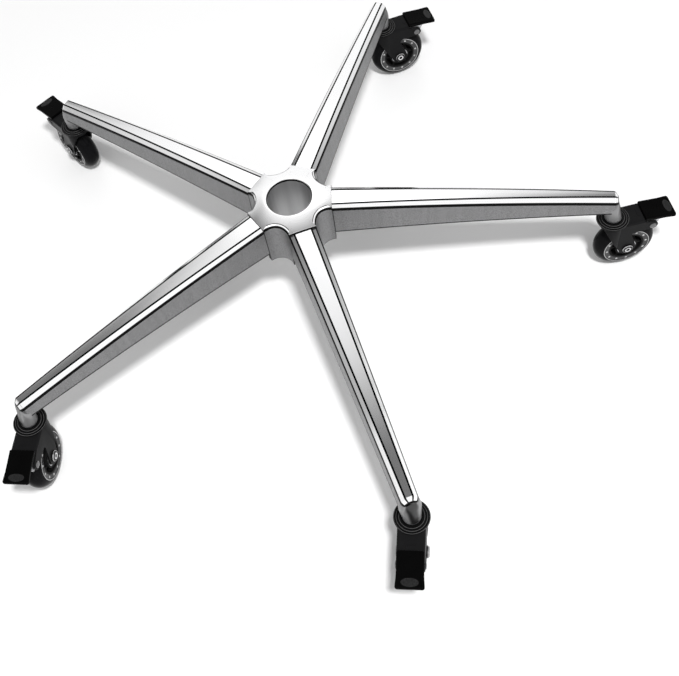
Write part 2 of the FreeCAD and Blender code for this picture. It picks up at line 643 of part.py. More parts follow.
def on_pin(shape, tilt=LEVER_TILT):
    leaned = turned(shape, tilt, ORIGIN, V(0, 1, 0))
    return moved(leaned, x=BRAKE_PIN_X, z=BRAKE_PIN_HEIGHT)


def brake_pin():
    radius = BRAKE_PIN_DIAMETER / 2
    face = FORK_HALF_WIDTH
    head = BRAKE_PIN_HEAD_DIAMETER / 2
    top = face + BRAKE_PIN_HEAD_HEIGHT
    half = [(radius, face), (head, face), (head, face + BRAKE_PIN_HEAD_HEIGHT * 0.4),
            (head * 0.6, top), (0, top)]
    mirrored = [(r, -y) for r, y in reversed(half)]
    return on_pin(lathe(half + mirrored, WHEEL_AXIS), 0.0)


def leaf_path():
    """Middle line of the spring leaf: flat under the top plate, then a slope over the tread."""
    lift = WHEEL_RADIUS + LEAF_CLEARANCE + LEAF_SHEET / 2
    flat = PLATE_BOTTOM - LEAF_SHEET / 2
    bend_angle = math.radians(LEAF_BEND_ANGLE)
    end_angle = math.radians(LEAF_END_ANGLE)
    bend = V(AXLE_TRAIL + lift * math.cos(bend_angle), 0,
             AXLE_HEIGHT + lift * math.sin(bend_angle) + LEAF_BEND_RISE)
    end = V(AXLE_TRAIL + (lift + LEAF_END_RISE) * math.cos(end_angle), 0,
            AXLE_HEIGHT + (lift + LEAF_END_RISE) * math.sin(end_angle))
    return [V(AXLE_TRAIL - LEAF_TAB_START, 0, flat),
            V(FORK_PLATE_LENGTH - LEAF_TAB_INSET, 0, flat), bend, end]


def cam_nose():
    """Centre and radius of the cam's nose, so that it just clears the leaf at full stroke."""
    bend, end = leaf_path()[2:]
    along = (end - bend).normalize()
    normal = V(-along.z, 0, along.x)
    height = (V(BRAKE_PIN_X, 0, BRAKE_PIN_HEIGHT) - bend).dot(normal)
    reach = height - LEAF_SHEET / 2 - CAM_LEAF_GAP
    radius = reach - CAM_NOSE_OFFSET * math.cos(math.radians(CAM_NOSE_LEAD))
    square = math.degrees(math.atan2(-normal.z, -normal.x))
    angle = math.radians(square + CAM_NOSE_LEAD + BRAKE_STROKE + LEVER_TILT)
    return V(CAM_NOSE_OFFSET * math.cos(angle), 0, CAM_NOSE_OFFSET * math.sin(angle)), radius


def brake_lever():
    """Folded lever: a web under the pedal, two legs down to the pin and a cam between them."""
    web = Part.makeBox(LEVER_FRONT + LEVER_REACH, 2 * LEVER_HALF_WIDTH, LEVER_SHEET,
                       V(-LEVER_FRONT, -LEVER_HALF_WIDTH, LEVER_TOP - LEVER_SHEET))
    eye = LEVER_EYE_RADIUS
    web_under = LEVER_TOP - LEVER_SHEET / 2
    touch_front = tangent_point(-LEVER_FRONT, web_under, 0.0, 0.0, eye, -1)
    touch_rear = tangent_point(LEVER_REACH * 0.45, web_under, 0.0, 0.0, eye, 1)
    leg = Part.Wire([Part.makeLine(V(-LEVER_FRONT, 0, web_under), touch_front),
                     Part.Arc(touch_front, V(0, 0, -eye), touch_rear).toShape(),
                     Part.makeLine(touch_rear, V(LEVER_REACH * 0.45, 0, web_under)),
                     Part.makeLine(V(LEVER_REACH * 0.45, 0, web_under), V(-LEVER_FRONT, 0, web_under))])
    plate = Part.Face(leg).extrude(V(0, LEVER_SHEET, 0))
    near = moved(plate, y=-LEVER_HALF_WIDTH)
    far = moved(plate, y=LEVER_HALF_WIDTH - LEVER_SHEET)
    inside = LEVER_HALF_WIDTH - LEVER_SHEET / 2
    cam = Part.makeCylinder(CAM_RADIUS, 2 * inside, V(0, -inside, 0), WHEEL_AXIS)
    nose_centre, nose_radius = cam_nose()
    nose = Part.makeCylinder(nose_radius, 2 * LEAF_HALF_WIDTH,
                             nose_centre - V(0, LEAF_HALF_WIDTH, 0), WHEEL_AXIS)
    body = fused([web, near, far, cam, nose])
    hole = Part.makeCylinder(BRAKE_PIN_DIAMETER / 2 + RUNNING_FIT, 4 * FORK_HALF_WIDTH,
                             V(0, -2 * FORK_HALF_WIDTH, 0), WHEEL_AXIS)
    return on_pin(body.cut(hole))


def pedal_cap():
    """Moulded pedal over the lever's web, wider at its end, with an oval pad raised on it."""
    outline = [V(-PEDAL_FRONT, 0, PEDAL_BOTTOM), V(PEDAL_REACH, 0, PEDAL_BOTTOM),
               V(PEDAL_REACH, 0, PEDAL_END_TOP), V(-PEDAL_FRONT, 0, PEDAL_TOP)]
    block = moved(prism(outline, V(0, 2 * PEDAL_HALF_REAR, 0)), y=-PEDAL_HALF_REAR)
    front = PEDAL_HALF_FRONT
    rear = PEDAL_HALF_REAR
    step = LEVER_REACH * 0.6
    plan = prism([V(-PEDAL_FRONT, -front, 0), V(step, -front, 0), V(PEDAL_REACH, -rear, 0),
                  V(PEDAL_REACH, rear, 0), V(step, front, 0), V(-PEDAL_FRONT, front, 0)],
                 V(0, 0, 2 * PEDAL_TOP))
    block = block.common(plan)
    corners = [e for e in block.Edges
               if e.CenterOfMass.x > PEDAL_REACH - 0.1 and e.BoundBox.ZLength > 1.0]
    block = block.makeFillet(PEDAL_CORNER, corners)
    pad = Part.makeCylinder(PAD_HALF_LENGTH, 1.0, ORIGIN, UP)
    stretch = FreeCAD.Matrix()
    stretch.scale(1.0, PAD_HALF_WIDTH / PAD_HALF_LENGTH, 1.0)
    pad = pad.transformGeometry(stretch)
    fall = (PEDAL_TOP - PEDAL_END_TOP) / (PEDAL_FRONT + PEDAL_REACH)
    top_at_pad = PEDAL_TOP - fall * (PEDAL_FRONT + PAD_X)
    pad = moved(turned(pad, math.degrees(math.atan(fall)), ORIGIN, V(0, 1, 0)),
                x=PAD_X, z=top_at_pad + PAD_RISE - 1.0)
    pocket = Part.makeBox(LEVER_FRONT + LEVER_REACH + 2 * SLIP_FIT, 2 * (LEVER_HALF_WIDTH + SLIP_FIT),
                          LEVER_TOP, V(-LEVER_FRONT - SLIP_FIT, -LEVER_HALF_WIDTH - SLIP_FIT, 0))
    return on_pin(fused([block, pad]).cut(pocket))


def brake_leaf():
    """Spring leaf under the top plate: it steps down and lies over the tread, below the cam."""
    middle = leaf_path()
    above = []
    below = []
    for i, point in enumerate(middle):
        back = middle[max(i - 1, 0)]
        ahead = middle[min(i + 1, len(middle) - 1)]
        before = (point - back) if i > 0 else (ahead - point)
        after = (ahead - point) if i < len(middle) - 1 else (point - back)
        before.normalize()
        after.normalize()
        normal_before = V(-before.z, 0, before.x)
        normal_after = V(-after.z, 0, after.x)
        mitre = (normal_before + normal_after).normalize()
        reach = LEAF_SHEET / 2 / mitre.dot(normal_after)
        above.append(point + mitre * reach)
        below.append(point - mitre * reach)
    strip = prism(above + list(reversed(below)), V(0, 2 * LEAF_HALF_WIDTH, 0))
    return moved(strip, y=-LEAF_HALF_WIDTH)


# Placing and writing

def placed(shape, caster):
    """Turns a caster piece to its trail angle and carries it to its arm's end."""
    arm_angle = 2 * HALF_SECTOR * caster
    copy = turned(shape, CASTER_ANGLES[caster])
    return moved(copy, x=STEM_CIRCLE_RADIUS * math.cos(arm_angle),
                 y=STEM_CIRCLE_RADIUS * math.sin(arm_angle), z=FLOOR)


def write(shape, name):
    shape.exportStep("parts/" + name + ".step")


FIXED_GROUPS = {"caster_stems": caster_stem, "stem_grip_rings": stem_grip_ring, "race_caps": race_cap}
CASTER_PIECES = {"fork": fork, "race_balls": race_balls, "axle_barrel": axle_barrel,
                 "axle_screw": axle_screw, "tread": wheel_tread, "wheel_core": wheel_core,
                 "wheel_bearings": wheel_bearings, "brake_pin": brake_pin,
                 "brake_leaf": brake_leaf, "brake_lever": brake_lever, "pedal": pedal_cap}


def main():
    os.makedirs("parts", exist_ok=True)
    write(base_casting(), "base_casting")
    for name, make in FIXED_GROUPS.items():
        piece = make()
        group = Part.makeCompound([placed(piece, k) for k in range(ARM_COUNT)])
        write(group, name)
    for name, make in CASTER_PIECES.items():
        piece = make()
        for k in range(ARM_COUNT):
            write(placed(piece, k), "caster_" + str(k + 1) + "_" + name)


main()
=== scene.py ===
import math

import bmesh
import bpy
import numpy as np
from mathutils import Matrix, Vector


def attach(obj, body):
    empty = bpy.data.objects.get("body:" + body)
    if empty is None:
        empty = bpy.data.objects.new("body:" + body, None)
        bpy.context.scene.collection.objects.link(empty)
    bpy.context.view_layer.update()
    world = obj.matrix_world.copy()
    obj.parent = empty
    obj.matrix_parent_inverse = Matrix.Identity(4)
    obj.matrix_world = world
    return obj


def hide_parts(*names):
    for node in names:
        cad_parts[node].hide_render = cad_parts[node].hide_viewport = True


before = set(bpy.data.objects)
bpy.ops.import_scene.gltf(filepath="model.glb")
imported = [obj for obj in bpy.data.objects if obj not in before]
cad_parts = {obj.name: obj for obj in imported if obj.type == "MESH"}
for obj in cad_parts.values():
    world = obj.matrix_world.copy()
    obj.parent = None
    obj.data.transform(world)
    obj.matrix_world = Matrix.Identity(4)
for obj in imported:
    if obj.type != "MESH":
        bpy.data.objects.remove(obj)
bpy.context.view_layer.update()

bl_info = {
    "name": "Five Star Chair Base",
    "version": (1, 0, 0),
    "blender": (4, 5, 0),
    "location": "3D View > Sidebar > Star Base",
    "description": "Builds the looks of a cast five-star chair base with braked casters round its CAD frame",
    "category": "Add Mesh",
}

# Lengths are millimetres and become metres where a mesh is made.
MM = 0.001

# The casting. A pair holds the values at an arm's root and at its tip.
ARM_COUNT = 5
BORE_MOUTH_RADIUS = 25.0
BORE_FOOT_RADIUS = 23.5
BORE_CHAMFER = 0.8
HUB_DEPTH = 60.0
HUB_FALL = 3.4                   # the hub's top falls this far to the arms' roots
HUB_FALL_POWER = 1.32
SLEEVE_FOOT = 62.5               # the sleeve round the socket reaches a little below the skirt
HUB_TOP_ROWS = 9
HUB_SWEEP_RADIUS = 17.7
HUB_DRAFT = 1.2
HUB_RIM_BEVEL = 2.8
SLEEVE_RADIUS = 32.0
ARM_ROOT = 47.5
ARM_TIP = 357.0
ARM_START = 45.9
ROOT_SEAM = 0.9                  # width of the painted dark line of shade where an arm leaves the hub's skirt
FOOT_LINE = 1.5                  # height of the painted dark line of shade along an arm's lower edges
NOSE_ROUND = 2.4                 # plan radius of the nose's corners
NOSE_LINE = 1.4                  # width of the painted dark line of shade and dark reflection round the nose's end
FACET_LINE = 1.35                # width of the painted dark line of dark reflection along the facet's edges
ARM_CROWN = 3.2
TOP_DROP = (5.75, 39.0)
FACET_HALF = (10.2, 4.5)
ARM_HALF = (15.9, 9.4)
BEVEL_DROP = (2.9, 6.6)
ARM_HEIGHT = (42.0, 22.5)
ARM_DRAFT = (0.9, 1.6)
LOWER_EDGE_ROUND = 1.0
RIM_LINE = 3.2                   # painted dark line of shade below the socket's rim ends here
TAPER_RUN = 40                   # the socket loses 1 of radius over this depth
ARM_WALL = 3.6
ARM_ROOF = 4.2
HOLLOW_END = 346.3
NOSE_LENGTH = 4.3
NOSE_DROP = 4.2
NOSE_INSET = 2.2
NOSE_DIP = 0.2                   # its end dips by this share of the rounding in plan
FACET_KEEP = 0.6                 # and the facet is spared this share of it
NOSE_BEVEL_DROP = 0.4 * NOSE_DROP
TIP_BLEND = 0.9                  # the arm's top bends into the nose over this far each way
RIB_COUNT = 4
RIB_THICKNESS = 2.6
RIB_RECESS = 5.0
STEM_CIRCLE_RADIUS = 360.0
BOSS_SEAT = -79.0
BOSS_TOP_RADIUS = 11.6
BOSS_END_RADIUS = 9.5
BOSS_BELLY = 0.7                 # its outer side stands this much proud of a straight line

# The casters: heights above the floor, x towards the pedal, y across the wheel
CASTER_ANGLES = (11.9, 17.2, 133.9, 264.3, 264.7)
CASTER_HEIGHT = 87.0
FLOOR = BOSS_SEAT - CASTER_HEIGHT
AXLE_X = 19.4
AXLE_HEIGHT = 36.0
WHEEL_RADIUS = 36.0
WHEEL_HALF_WIDTH = 11.6
TREAD_CROWN = 9.0
CORE_RADIUS = 20.52
CHEEK_FACE = 14.2
PIN_X = 44.49
PIN_HEIGHT = 70.5
PEDAL_LEAN = 4.0

HALF_SECTOR = math.pi / ARM_COUNT
SWEEP_CENTRE = (ARM_HALF[0] + HUB_SWEEP_RADIUS) / math.sin(HALF_SECTOR)
HUB_CHORD = SWEEP_CENTRE * math.cos(HALF_SECTOR)

# How corners are rounded
CORNER_STEPS = 5
LONGEST_ROUND = 0.38             # a round takes at most this share of the shorter side
LEAD = 1.25                      # one more point, this many reaches out, keeps the flat beyond flat

# The studio, in metres
FLOOR_LIT = 0.6                  # up to here from the object's middle the floor is plainly lit
FLOOR_WHITE = 1.1                # and from here on it shows as white
LAMP_PLACE = (0.39, -1.0, 2.2)
LAMP_AIM = (0.0, 0.0, -0.1)
LAMP_SIZE = 0.27

# The floor's radius and height in millimetres, flat out to a low rim
FLOOR_PROFILE = ((0.0, 0.0), (5600.0, 0.0), (6200.0, 60.0), (6500.0, 200.0), (6600.0, 400.0),
                 (6700.0, 400.0), (6700.0, -100.0), (0.0, -100.0))

# Softboxes: azimuth and elevation of the middle, then how far from it the light is full and has gone
SOFTBOXES = ((88.0, 36.0, 18.0, 28.0), (-62.0, 42.0, 30.0, 48.0), (221.0, 28.0, 20.0, 54.0),
             (-4.0, 9.0, 26.0, 61.0), (99.0, 59.0, 0.0, 23.0), (133.0, 35.0, 0.0, 18.0))


# Shapes worked out with numpy

def unit(vectors):
    """Vectors scaled to length 1."""
    length = np.linalg.norm(vectors, axis=-1, keepdims=True)
    return vectors / np.maximum(length, 1e-9)


def rounded(corners, reach):
    """Closed loops with round corners.

    corners is an array (loops, corners, axes). Each corner P becomes the quadratic curve
    (1-t)^2 A + 2t(1-t) P + t^2 B, where A and B lie at the corner's reach from P along its two
    sides. One more point a little past A and B keeps the flats flat.
    """
    to_last = np.roll(corners, 1, axis=1) - corners
    to_next = np.roll(corners, -1, axis=1) - corners
    shorter = np.minimum(np.linalg.norm(to_last, axis=-1), np.linalg.norm(to_next, axis=-1))
    held = np.minimum(np.broadcast_to(reach, shorter.shape), LONGEST_ROUND * shorter)[..., None]
    back = unit(to_last) * held
    ahead = unit(to_next) * held
    start, end = corners + back, corners + ahead
    lead, tail = corners + back * LEAD, corners + ahead * LEAD
    t = np.linspace(0.0, 1.0, CORNER_STEPS)[None, None, :, None]
    curve = ((1 - t) ** 2 * start[:, :, None, :] + 2 * t * (1 - t) * corners[:, :, None, :]
             + t ** 2 * end[:, :, None, :])
    ring = np.concatenate([lead[:, :, None, :], curve, tail[:, :, None, :]], axis=2)
    return ring.reshape(corners.shape[0], -1, corners.shape[2])


def corner_mask(values):
    """Spreads (before, on, after) values of each corner over the points that rounded() gives it."""
    values = np.asarray(values, float)
    before = values[:, :1]
    on = np.repeat(values[:, 1:2], CORNER_STEPS, axis=1)
    after = values[:, 2:]
    return np.concatenate([before, on, after], axis=1).reshape(-1)


def turned(points, angle):
    """Turns points about the Z axis by an angle in radians."""
    c, s = math.cos(angle), math.sin(angle)
    return np.asarray(points) @ np.array([[c, s, 0.0], [-s, c, 0.0], [0.0, 0.0, 1.0]])


def lathe(profile, steps, about="Z"):
    """Carries (radius, height) points round Z or Y: x = r cos a, y = r sin a, z = h, or the same about Y."""
    profile = np.asarray(profile, float)
    angle = np.linspace(0.0, 2 * math.pi, steps, endpoint=False)[:, None]
    radius = profile[None, :, 0]
    height = np.broadcast_to(profile[None, :, 1], (steps, len(profile)))
    across = radius * np.cos(angle)
    along = radius * np.sin(angle)
    if about == "Z":
        return np.stack([across, along, height], axis=-1)
    return np.stack([across, height, -along], axis=-1)


def at_caster(points, index):
    """Turns points of one caster to its trail angle and carries them under its arm's end."""
    arm = 2 * HALF_SECTOR * index
    stem = np.array([STEM_CIRCLE_RADIUS * math.cos(arm), STEM_CIRCLE_RADIUS * math.sin(arm), FLOOR])
    return turned(points, math.radians(CASTER_ANGLES[index])) + stem


def on_axle(points):
    """Moves points from the origin to the wheel's axle."""
    return np.asarray(points) + np.array([AXLE_X, 0.0, AXLE_HEIGHT])


def on_pin(points, lean=PEDAL_LEAN):
    """Leans points about the brake pin's line by some degrees, pedal end down."""
    c, s = math.cos(math.radians(lean)), math.sin(math.radians(lean))
    leaned = np.asarray(points) @ np.array([[c, 0.0, -s], [0.0, 1.0, 0.0], [s, 0.0, c]])
    return leaned + np.array([PIN_X, 0.0, PIN_HEIGHT])


class Shell:
    """Collects closed surfaces in millimetres and makes one mesh of them in metres."""

    def __init__(self, masks=()):
        self.points = []
        self.faces = []
        self.masks = {name: [] for name in masks}
        self.count = 0

    def grid(self, points, wrap_rows=False, wrap_columns=True, caps=False, **masks):
        """Adds a grid of points (rows, columns, 3) as quads, with its first and last row closed by caps."""
        rows, columns = points.shape[:2]
        index = self.count + np.arange(rows * columns).reshape(rows, columns)
        ahead = np.roll(index, -1, axis=0)
        beside = np.roll(index, -1, axis=1)
        both = np.roll(ahead, -1, axis=1)
        quads = np.stack([index, ahead, both, beside], axis=-1)
        if not wrap_rows:
            quads = quads[:-1]
        if not wrap_columns:
            quads = quads[:, :-1]
        self.faces += quads.reshape(-1, 4).tolist()
        if caps:
            self.faces.append(index[0].tolist())
            self.faces.append(index[-1][::-1].tolist())
        self.points.append(points.reshape(-1, 3))
        for name, store in self.masks.items():
            store.append(np.broadcast_to(masks.get(name, 0.0), (rows, columns)).reshape(-1))
        self.count += rows * columns

    def mesh_object(self, name, sharp=35.0):
        """The collected surfaces as an object, smooth up to an angle in degrees."""
        mesh = bpy.data.meshes.new(name)
        points = np.concatenate(self.points) * MM
        mesh.from_pydata(points.tolist(), [], self.faces)
        for mask, store in self.masks.items():
            layer = mesh.attributes.new(mask, "FLOAT", "POINT")
            layer.data.foreach_set("value", np.concatenate(store).astype(np.float32))

        def drop_slivers(cleaned):
            bmesh.ops.dissolve_degenerate(cleaned, edges=cleaned.edges, dist=1e-7)

        return cleaned_object(name, mesh, drop_slivers, merge=2e-7, sharp=sharp)


def cleaned_object(name, mesh, dissolve, merge, sharp):
    """Merges points closer than the given metres, dissolves what can be spared and makes an object."""
    cleaned = bmesh.new()
    cleaned.from_mesh(mesh)
    bmesh.ops.remove_doubles(cleaned, verts=cleaned.verts, dist=merge)
    dissolve(cleaned)
    bmesh.ops.recalc_face_normals(cleaned, faces=cleaned.faces)
    cleaned.to_mesh(mesh)
    cleaned.free()
    mesh.shade_smooth()
    mesh.set_sharp_from_angle(angle=math.radians(sharp))
    piece = bpy.data.objects.new(name, mesh)
    bpy.context.scene.collection.objects.link(piece)
    return piece


def finish_piece(piece, kind, body, slot, *nodes):
    """Gives a piece its material, lets it ride on a body and stand for CAD nodes. Its slot is not used."""
    piece.data.materials.clear()
    piece.data.materials.append(material(kind))
    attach(piece, body)
    if nodes:
        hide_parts(*nodes)


# The casting's surfaces

def along_arm(pair, station):
    """Runs evenly from an arm's root value to its tip value."""
    return pair[0] + (pair[1] - pair[0]) * (station - ARM_ROOT) / (ARM_TIP - ARM_ROOT)


def arm_top(station):
    """Height of an arm's top facet: a straight fall with a parabola's crown over it."""
    share = (station - ARM_ROOT) / (ARM_TIP - ARM_ROOT)
    return ARM_CROWN * 4 * share * (1 - share) - along_arm(TOP_DROP, station)


def nose_share(station):
    """Zero along the arm, then a straight bevel to 1 at the nose, with a short round start."""
    past = station - ARM_TIP
    curve = np.clip(past + TIP_BLEND, 0.0, 2 * TIP_BLEND) ** 2 / (4 * TIP_BLEND)
    return (curve + np.maximum(past - TIP_BLEND, 0.0)) / NOSE_LENGTH


def arm_stations():
    """Distances from the hub's middle for an arm's sections, and whether each lies past the hollow."""
    nose_end = ARM_TIP + NOSE_LENGTH
    seam_rows = ARM_START + ROOT_SEAM * np.array([0.0, 0.5, 1.0, 1.5])
    hollow_rows = np.linspace(ARM_START + 3.0, HOLLOW_END, 42)
    solid_rows = np.linspace(HOLLOW_END, ARM_TIP - 1.2, 4)
    blend_rows = ARM_TIP + np.linspace(-TIP_BLEND, TIP_BLEND, 6)
    swing = np.linspace(0.0, math.pi / 2, 9)
    nose_rows = nose_end - NOSE_ROUND * (1 - np.sin(swing))
    station = np.concatenate([seam_rows, hollow_rows, solid_rows, blend_rows, nose_rows])
    return station, np.arange(len(station)) >= len(seam_rows) + len(hollow_rows)


def arm_grid(sizes):
    """One arm: a U-shaped section with rounded corners, carried along the arm and over its nose."""
    station, solid = arm_stations()
    nose_end = ARM_TIP + NOSE_LENGTH
    top = arm_top(station)
    nose = nose_share(station)
    into_round = np.clip((station - nose_end) / NOSE_ROUND + 1.0, 0.0, 1.0)
    plan_round = NOSE_ROUND * (1.0 - np.sqrt(1.0 - into_round ** 2))
    inset = NOSE_INSET * nose + plan_round
    facet = along_arm(FACET_HALF, station) - inset + FACET_KEEP * plan_round
    half = along_arm(ARM_HALF, station) - inset
    foot = half + along_arm(ARM_DRAFT, station)
    bevel_foot = top - along_arm(BEVEL_DROP, station) - NOSE_BEVEL_DROP * nose
    bottom = top - along_arm(ARM_HEIGHT, station)
    upper = top - NOSE_DROP * nose - NOSE_DIP * plan_round
    roof = np.where(solid, bottom, top - along_arm(BEVEL_DROP, station) - ARM_ROOF)
    crown = sizes.facet_crown / MM
    line_half = foot - (foot - half) * FOOT_LINE / (bevel_foot - bottom)
    line_top = bottom + FOOT_LINE
    lined = facet - FACET_LINE * facet / along_arm(FACET_HALF, station)
    lined_top = upper + crown * (1.0 - (lined / facet) ** 2)
    middle = [(0.0 * facet, upper + crown)]
    right = [(0.5 * facet, upper + 0.75 * crown), (lined, lined_top), (facet, upper), (half, bevel_foot),
             (line_half, line_top), (foot, bottom)]
    left = [(-across, height) for across, height in reversed(right)]
    hollow = [(foot - ARM_WALL, bottom), (half - ARM_WALL, roof), (ARM_WALL - half, roof),
              (ARM_WALL - foot, bottom)]
    outline = left + middle + right + hollow
    corners = np.stack([np.stack(pair, axis=-1) for pair in outline], axis=1)
    edge = sizes.edge_round / MM
    line = sizes.facet_edge_round / MM
    small = LOWER_EDGE_ROUND
    reach = np.array([small, 0.3, edge, line, 0.15, 0.6, 0.6, 0.6, 0.15, line, edge, 0.3, small,
                      small, 1.0, 1.0, small])
    loops = rounded(corners, reach)
    none, all_on, starts, on_it, ends = (0, 0, 0), (1, 1, 1), (0, 1, 1), (0, 1, 0), (1, 1, 0)
    inside = [none] * 4
    polish = corner_mask([none, none, starts] + [all_on] * 7 + [ends, none, none] + inside)
    # Painted shade: dark marks along the facet's edges, the lower edges, round the nose and at the root
    # stand in for shade and dark reflections
    dark = corner_mask([starts, ends, on_it, starts, ends, none, none, none, starts, ends, on_it, starts,
                        ends] + inside)
    wall = corner_mask([starts, all_on, ends] + [none] * 7 + [starts, all_on, ends] + inside)
    nose_edge = (station > nose_end - NOSE_LINE)[:, None] * (polish > 0)[None, :]
    seam = (station < ARM_START + 1.2 * ROOT_SEAM)[:, None] * wall[None, :]
    x = np.broadcast_to(station[:, None], loops.shape[:2])
    lines = np.maximum(dark[None, :], np.maximum(nose_edge, 0.6 * seam))
    return np.concatenate([x[..., None], loops], axis=-1), polish[None, :], lines


def rib_grids():
    """Cross ribs in an arm's hollow: rounded rectangles between the two walls."""
    pitch = (HOLLOW_END - ARM_ROOT) / (RIB_COUNT + 1)
    for i in range(RIB_COUNT):
        middle = ARM_ROOT + pitch * (i + 1)
        half = along_arm(ARM_HALF, middle) - ARM_WALL / 2
        low = arm_top(middle) - along_arm(ARM_HEIGHT, middle) + RIB_RECESS
        high = arm_top(middle) - along_arm(BEVEL_DROP, middle) - ARM_ROOF / 2
        side = RIB_THICKNESS / 2
        corners = np.array([[(-side, low), (side, low), (side, high), (-side, high)]])
        loop = rounded(corners, 0.5)[0]
        y = np.array([-half, half])[:, None]
        x = np.broadcast_to(middle + loop[None, :, 0], (2, len(loop)))
        z = np.broadcast_to(loop[None, :, 1], (2, len(loop)))
        yield np.stack([x, np.broadcast_to(y, x.shape), z], axis=-1)


def boss_grid():
    """The arm's end runs down into a round boss whose outer side leans out to its foot.

    Each ring is a superellipse |x/a|^n + |y/b|^n = 1, whose n falls from 6 to 2 on the way to the
    arm's lower edges. A mark shows where a dark strip, a painted reflection, lies on its outer side.
    """
    tip_top = arm_top(ARM_TIP)
    top = tip_top - BEVEL_DROP[1] - NOSE_BEVEL_DROP - 0.6
    shoulder = tip_top - ARM_HEIGHT[1]
    nose_end = ARM_TIP + NOSE_LENGTH
    head_rows = np.linspace(top, shoulder, 14)
    neck_rows = np.linspace(shoulder, BOSS_SEAT + 1.0, 12)[1:]
    foot_rows = BOSS_SEAT + np.array([0.35, 0.1, 0.0, 0.0])
    z = np.concatenate([head_rows, neck_rows, foot_rows])
    foot_inset = np.concatenate([np.zeros(len(z) - len(foot_rows)), [0.05, 0.2, 0.5, 4.0]])
    down = (top - z) / (top - BOSS_SEAT)
    upper = np.clip((top - z) / (top - shoulder), 0.0, 1.0)
    lower = np.clip((shoulder - z) / (shoulder - BOSS_SEAT), 0.0, 1.0)
    reach = STEM_CIRCLE_RADIUS + BOSS_END_RADIUS - nose_end
    outer_side = nose_end + reach * down + BOSS_BELLY * 4 * down * (1 - down) - foot_inset
    inner_side = nose_end - 1.2 * BOSS_TOP_RADIUS
    inner_side += (STEM_CIRCLE_RADIUS - BOSS_END_RADIUS - inner_side) * down + foot_inset
    wide_start = ARM_HALF[1] - NOSE_INSET - 0.3
    wide_half = wide_start + (BOSS_TOP_RADIUS - wide_start) * np.sin(upper * math.pi / 2)
    wide_half += (BOSS_END_RADIUS - BOSS_TOP_RADIUS) * lower - foot_inset
    power = (2.0 + 4.0 * (1.0 - upper) ** 1.6)[:, None]
    long_half = ((outer_side - inner_side) / 2)[:, None]
    centre = ((outer_side + inner_side) / 2)[:, None]
    angle = np.linspace(0.0, 2 * math.pi, 72, endpoint=False)
    c, s = np.cos(angle)[None, :], np.sin(angle)[None, :]
    x = centre + long_half * np.sign(c) * np.abs(c) ** (2 / power)
    y = wide_half[:, None] * np.sign(s) * np.abs(s) ** (2 / power)
    # Painted reflection: a dark strip down the boss's outer side stands in for a dark reflection
    strip_start, strip_full = 0.82, 0.95
    into_strip = (np.broadcast_to(c, x.shape) - strip_start) / (strip_full - strip_start)
    outermost = np.clip(into_strip, 0.0, 1.0)
    return np.stack([x, y, np.broadcast_to(z[:, None], x.shape)], axis=-1), outermost


def hub_outline():
    """Plan of the hub for one arm and the sweep after it, as points, outward normals and marks.

    Marks are: width share of the rim bevel, whether the arm's hollow lies below, and whether the
    point is on the straight chord at the arm's root.
    """
    hollow = ARM_HALF[0] - ARM_WALL
    hair = 0.01
    side = 0.6
    half_y = np.array([6.0, hollow - hair, hollow, hollow + side, ARM_HALF[0] - side])
    y = np.concatenate([-half_y[::-1], [0.0], half_y])
    chord = np.stack([np.full_like(y, HUB_CHORD), y], axis=-1)
    chord_normal = np.broadcast_to([1.0, 0.0], chord.shape)
    open_below = np.abs(y) < hollow - hair / 2
    chord_bevel = np.full_like(y, 0.1)
    steps = 34
    centre = SWEEP_CENTRE * np.array([math.cos(HALF_SECTOR), math.sin(HALF_SECTOR)])
    last = 2 * HALF_SECTOR + math.pi / 2 - 2 * math.pi
    angle = np.linspace(-math.pi / 2, last, steps)
    ray = np.stack([np.cos(angle), np.sin(angle)], axis=-1)
    sweep = centre + HUB_SWEEP_RADIUS * ray
    share = np.abs(np.linspace(-1.0, 1.0, steps))
    sweep_bevel = 1.0 + 0.75 * share ** 6
    plan = np.concatenate([chord, sweep])
    normal = np.concatenate([chord_normal, -ray])
    bevel = np.concatenate([chord_bevel, sweep_bevel])
    hollow_mark = np.concatenate([open_below, np.zeros(steps, bool)])
    on_chord = np.concatenate([np.ones(len(y), bool), np.zeros(steps, bool)])
    return plan, normal, bevel, hollow_mark, on_chord


def dome(radius):
    """Height of the hub's top: it falls from the socket's rim with a power of the distance."""
    out = np.maximum(radius - BORE_MOUTH_RADIUS - BORE_CHAMFER, 0.0)
    reach = HUB_CHORD - BORE_MOUTH_RADIUS - BORE_CHAMFER
    return -HUB_FALL * (out / reach) ** HUB_FALL_POWER


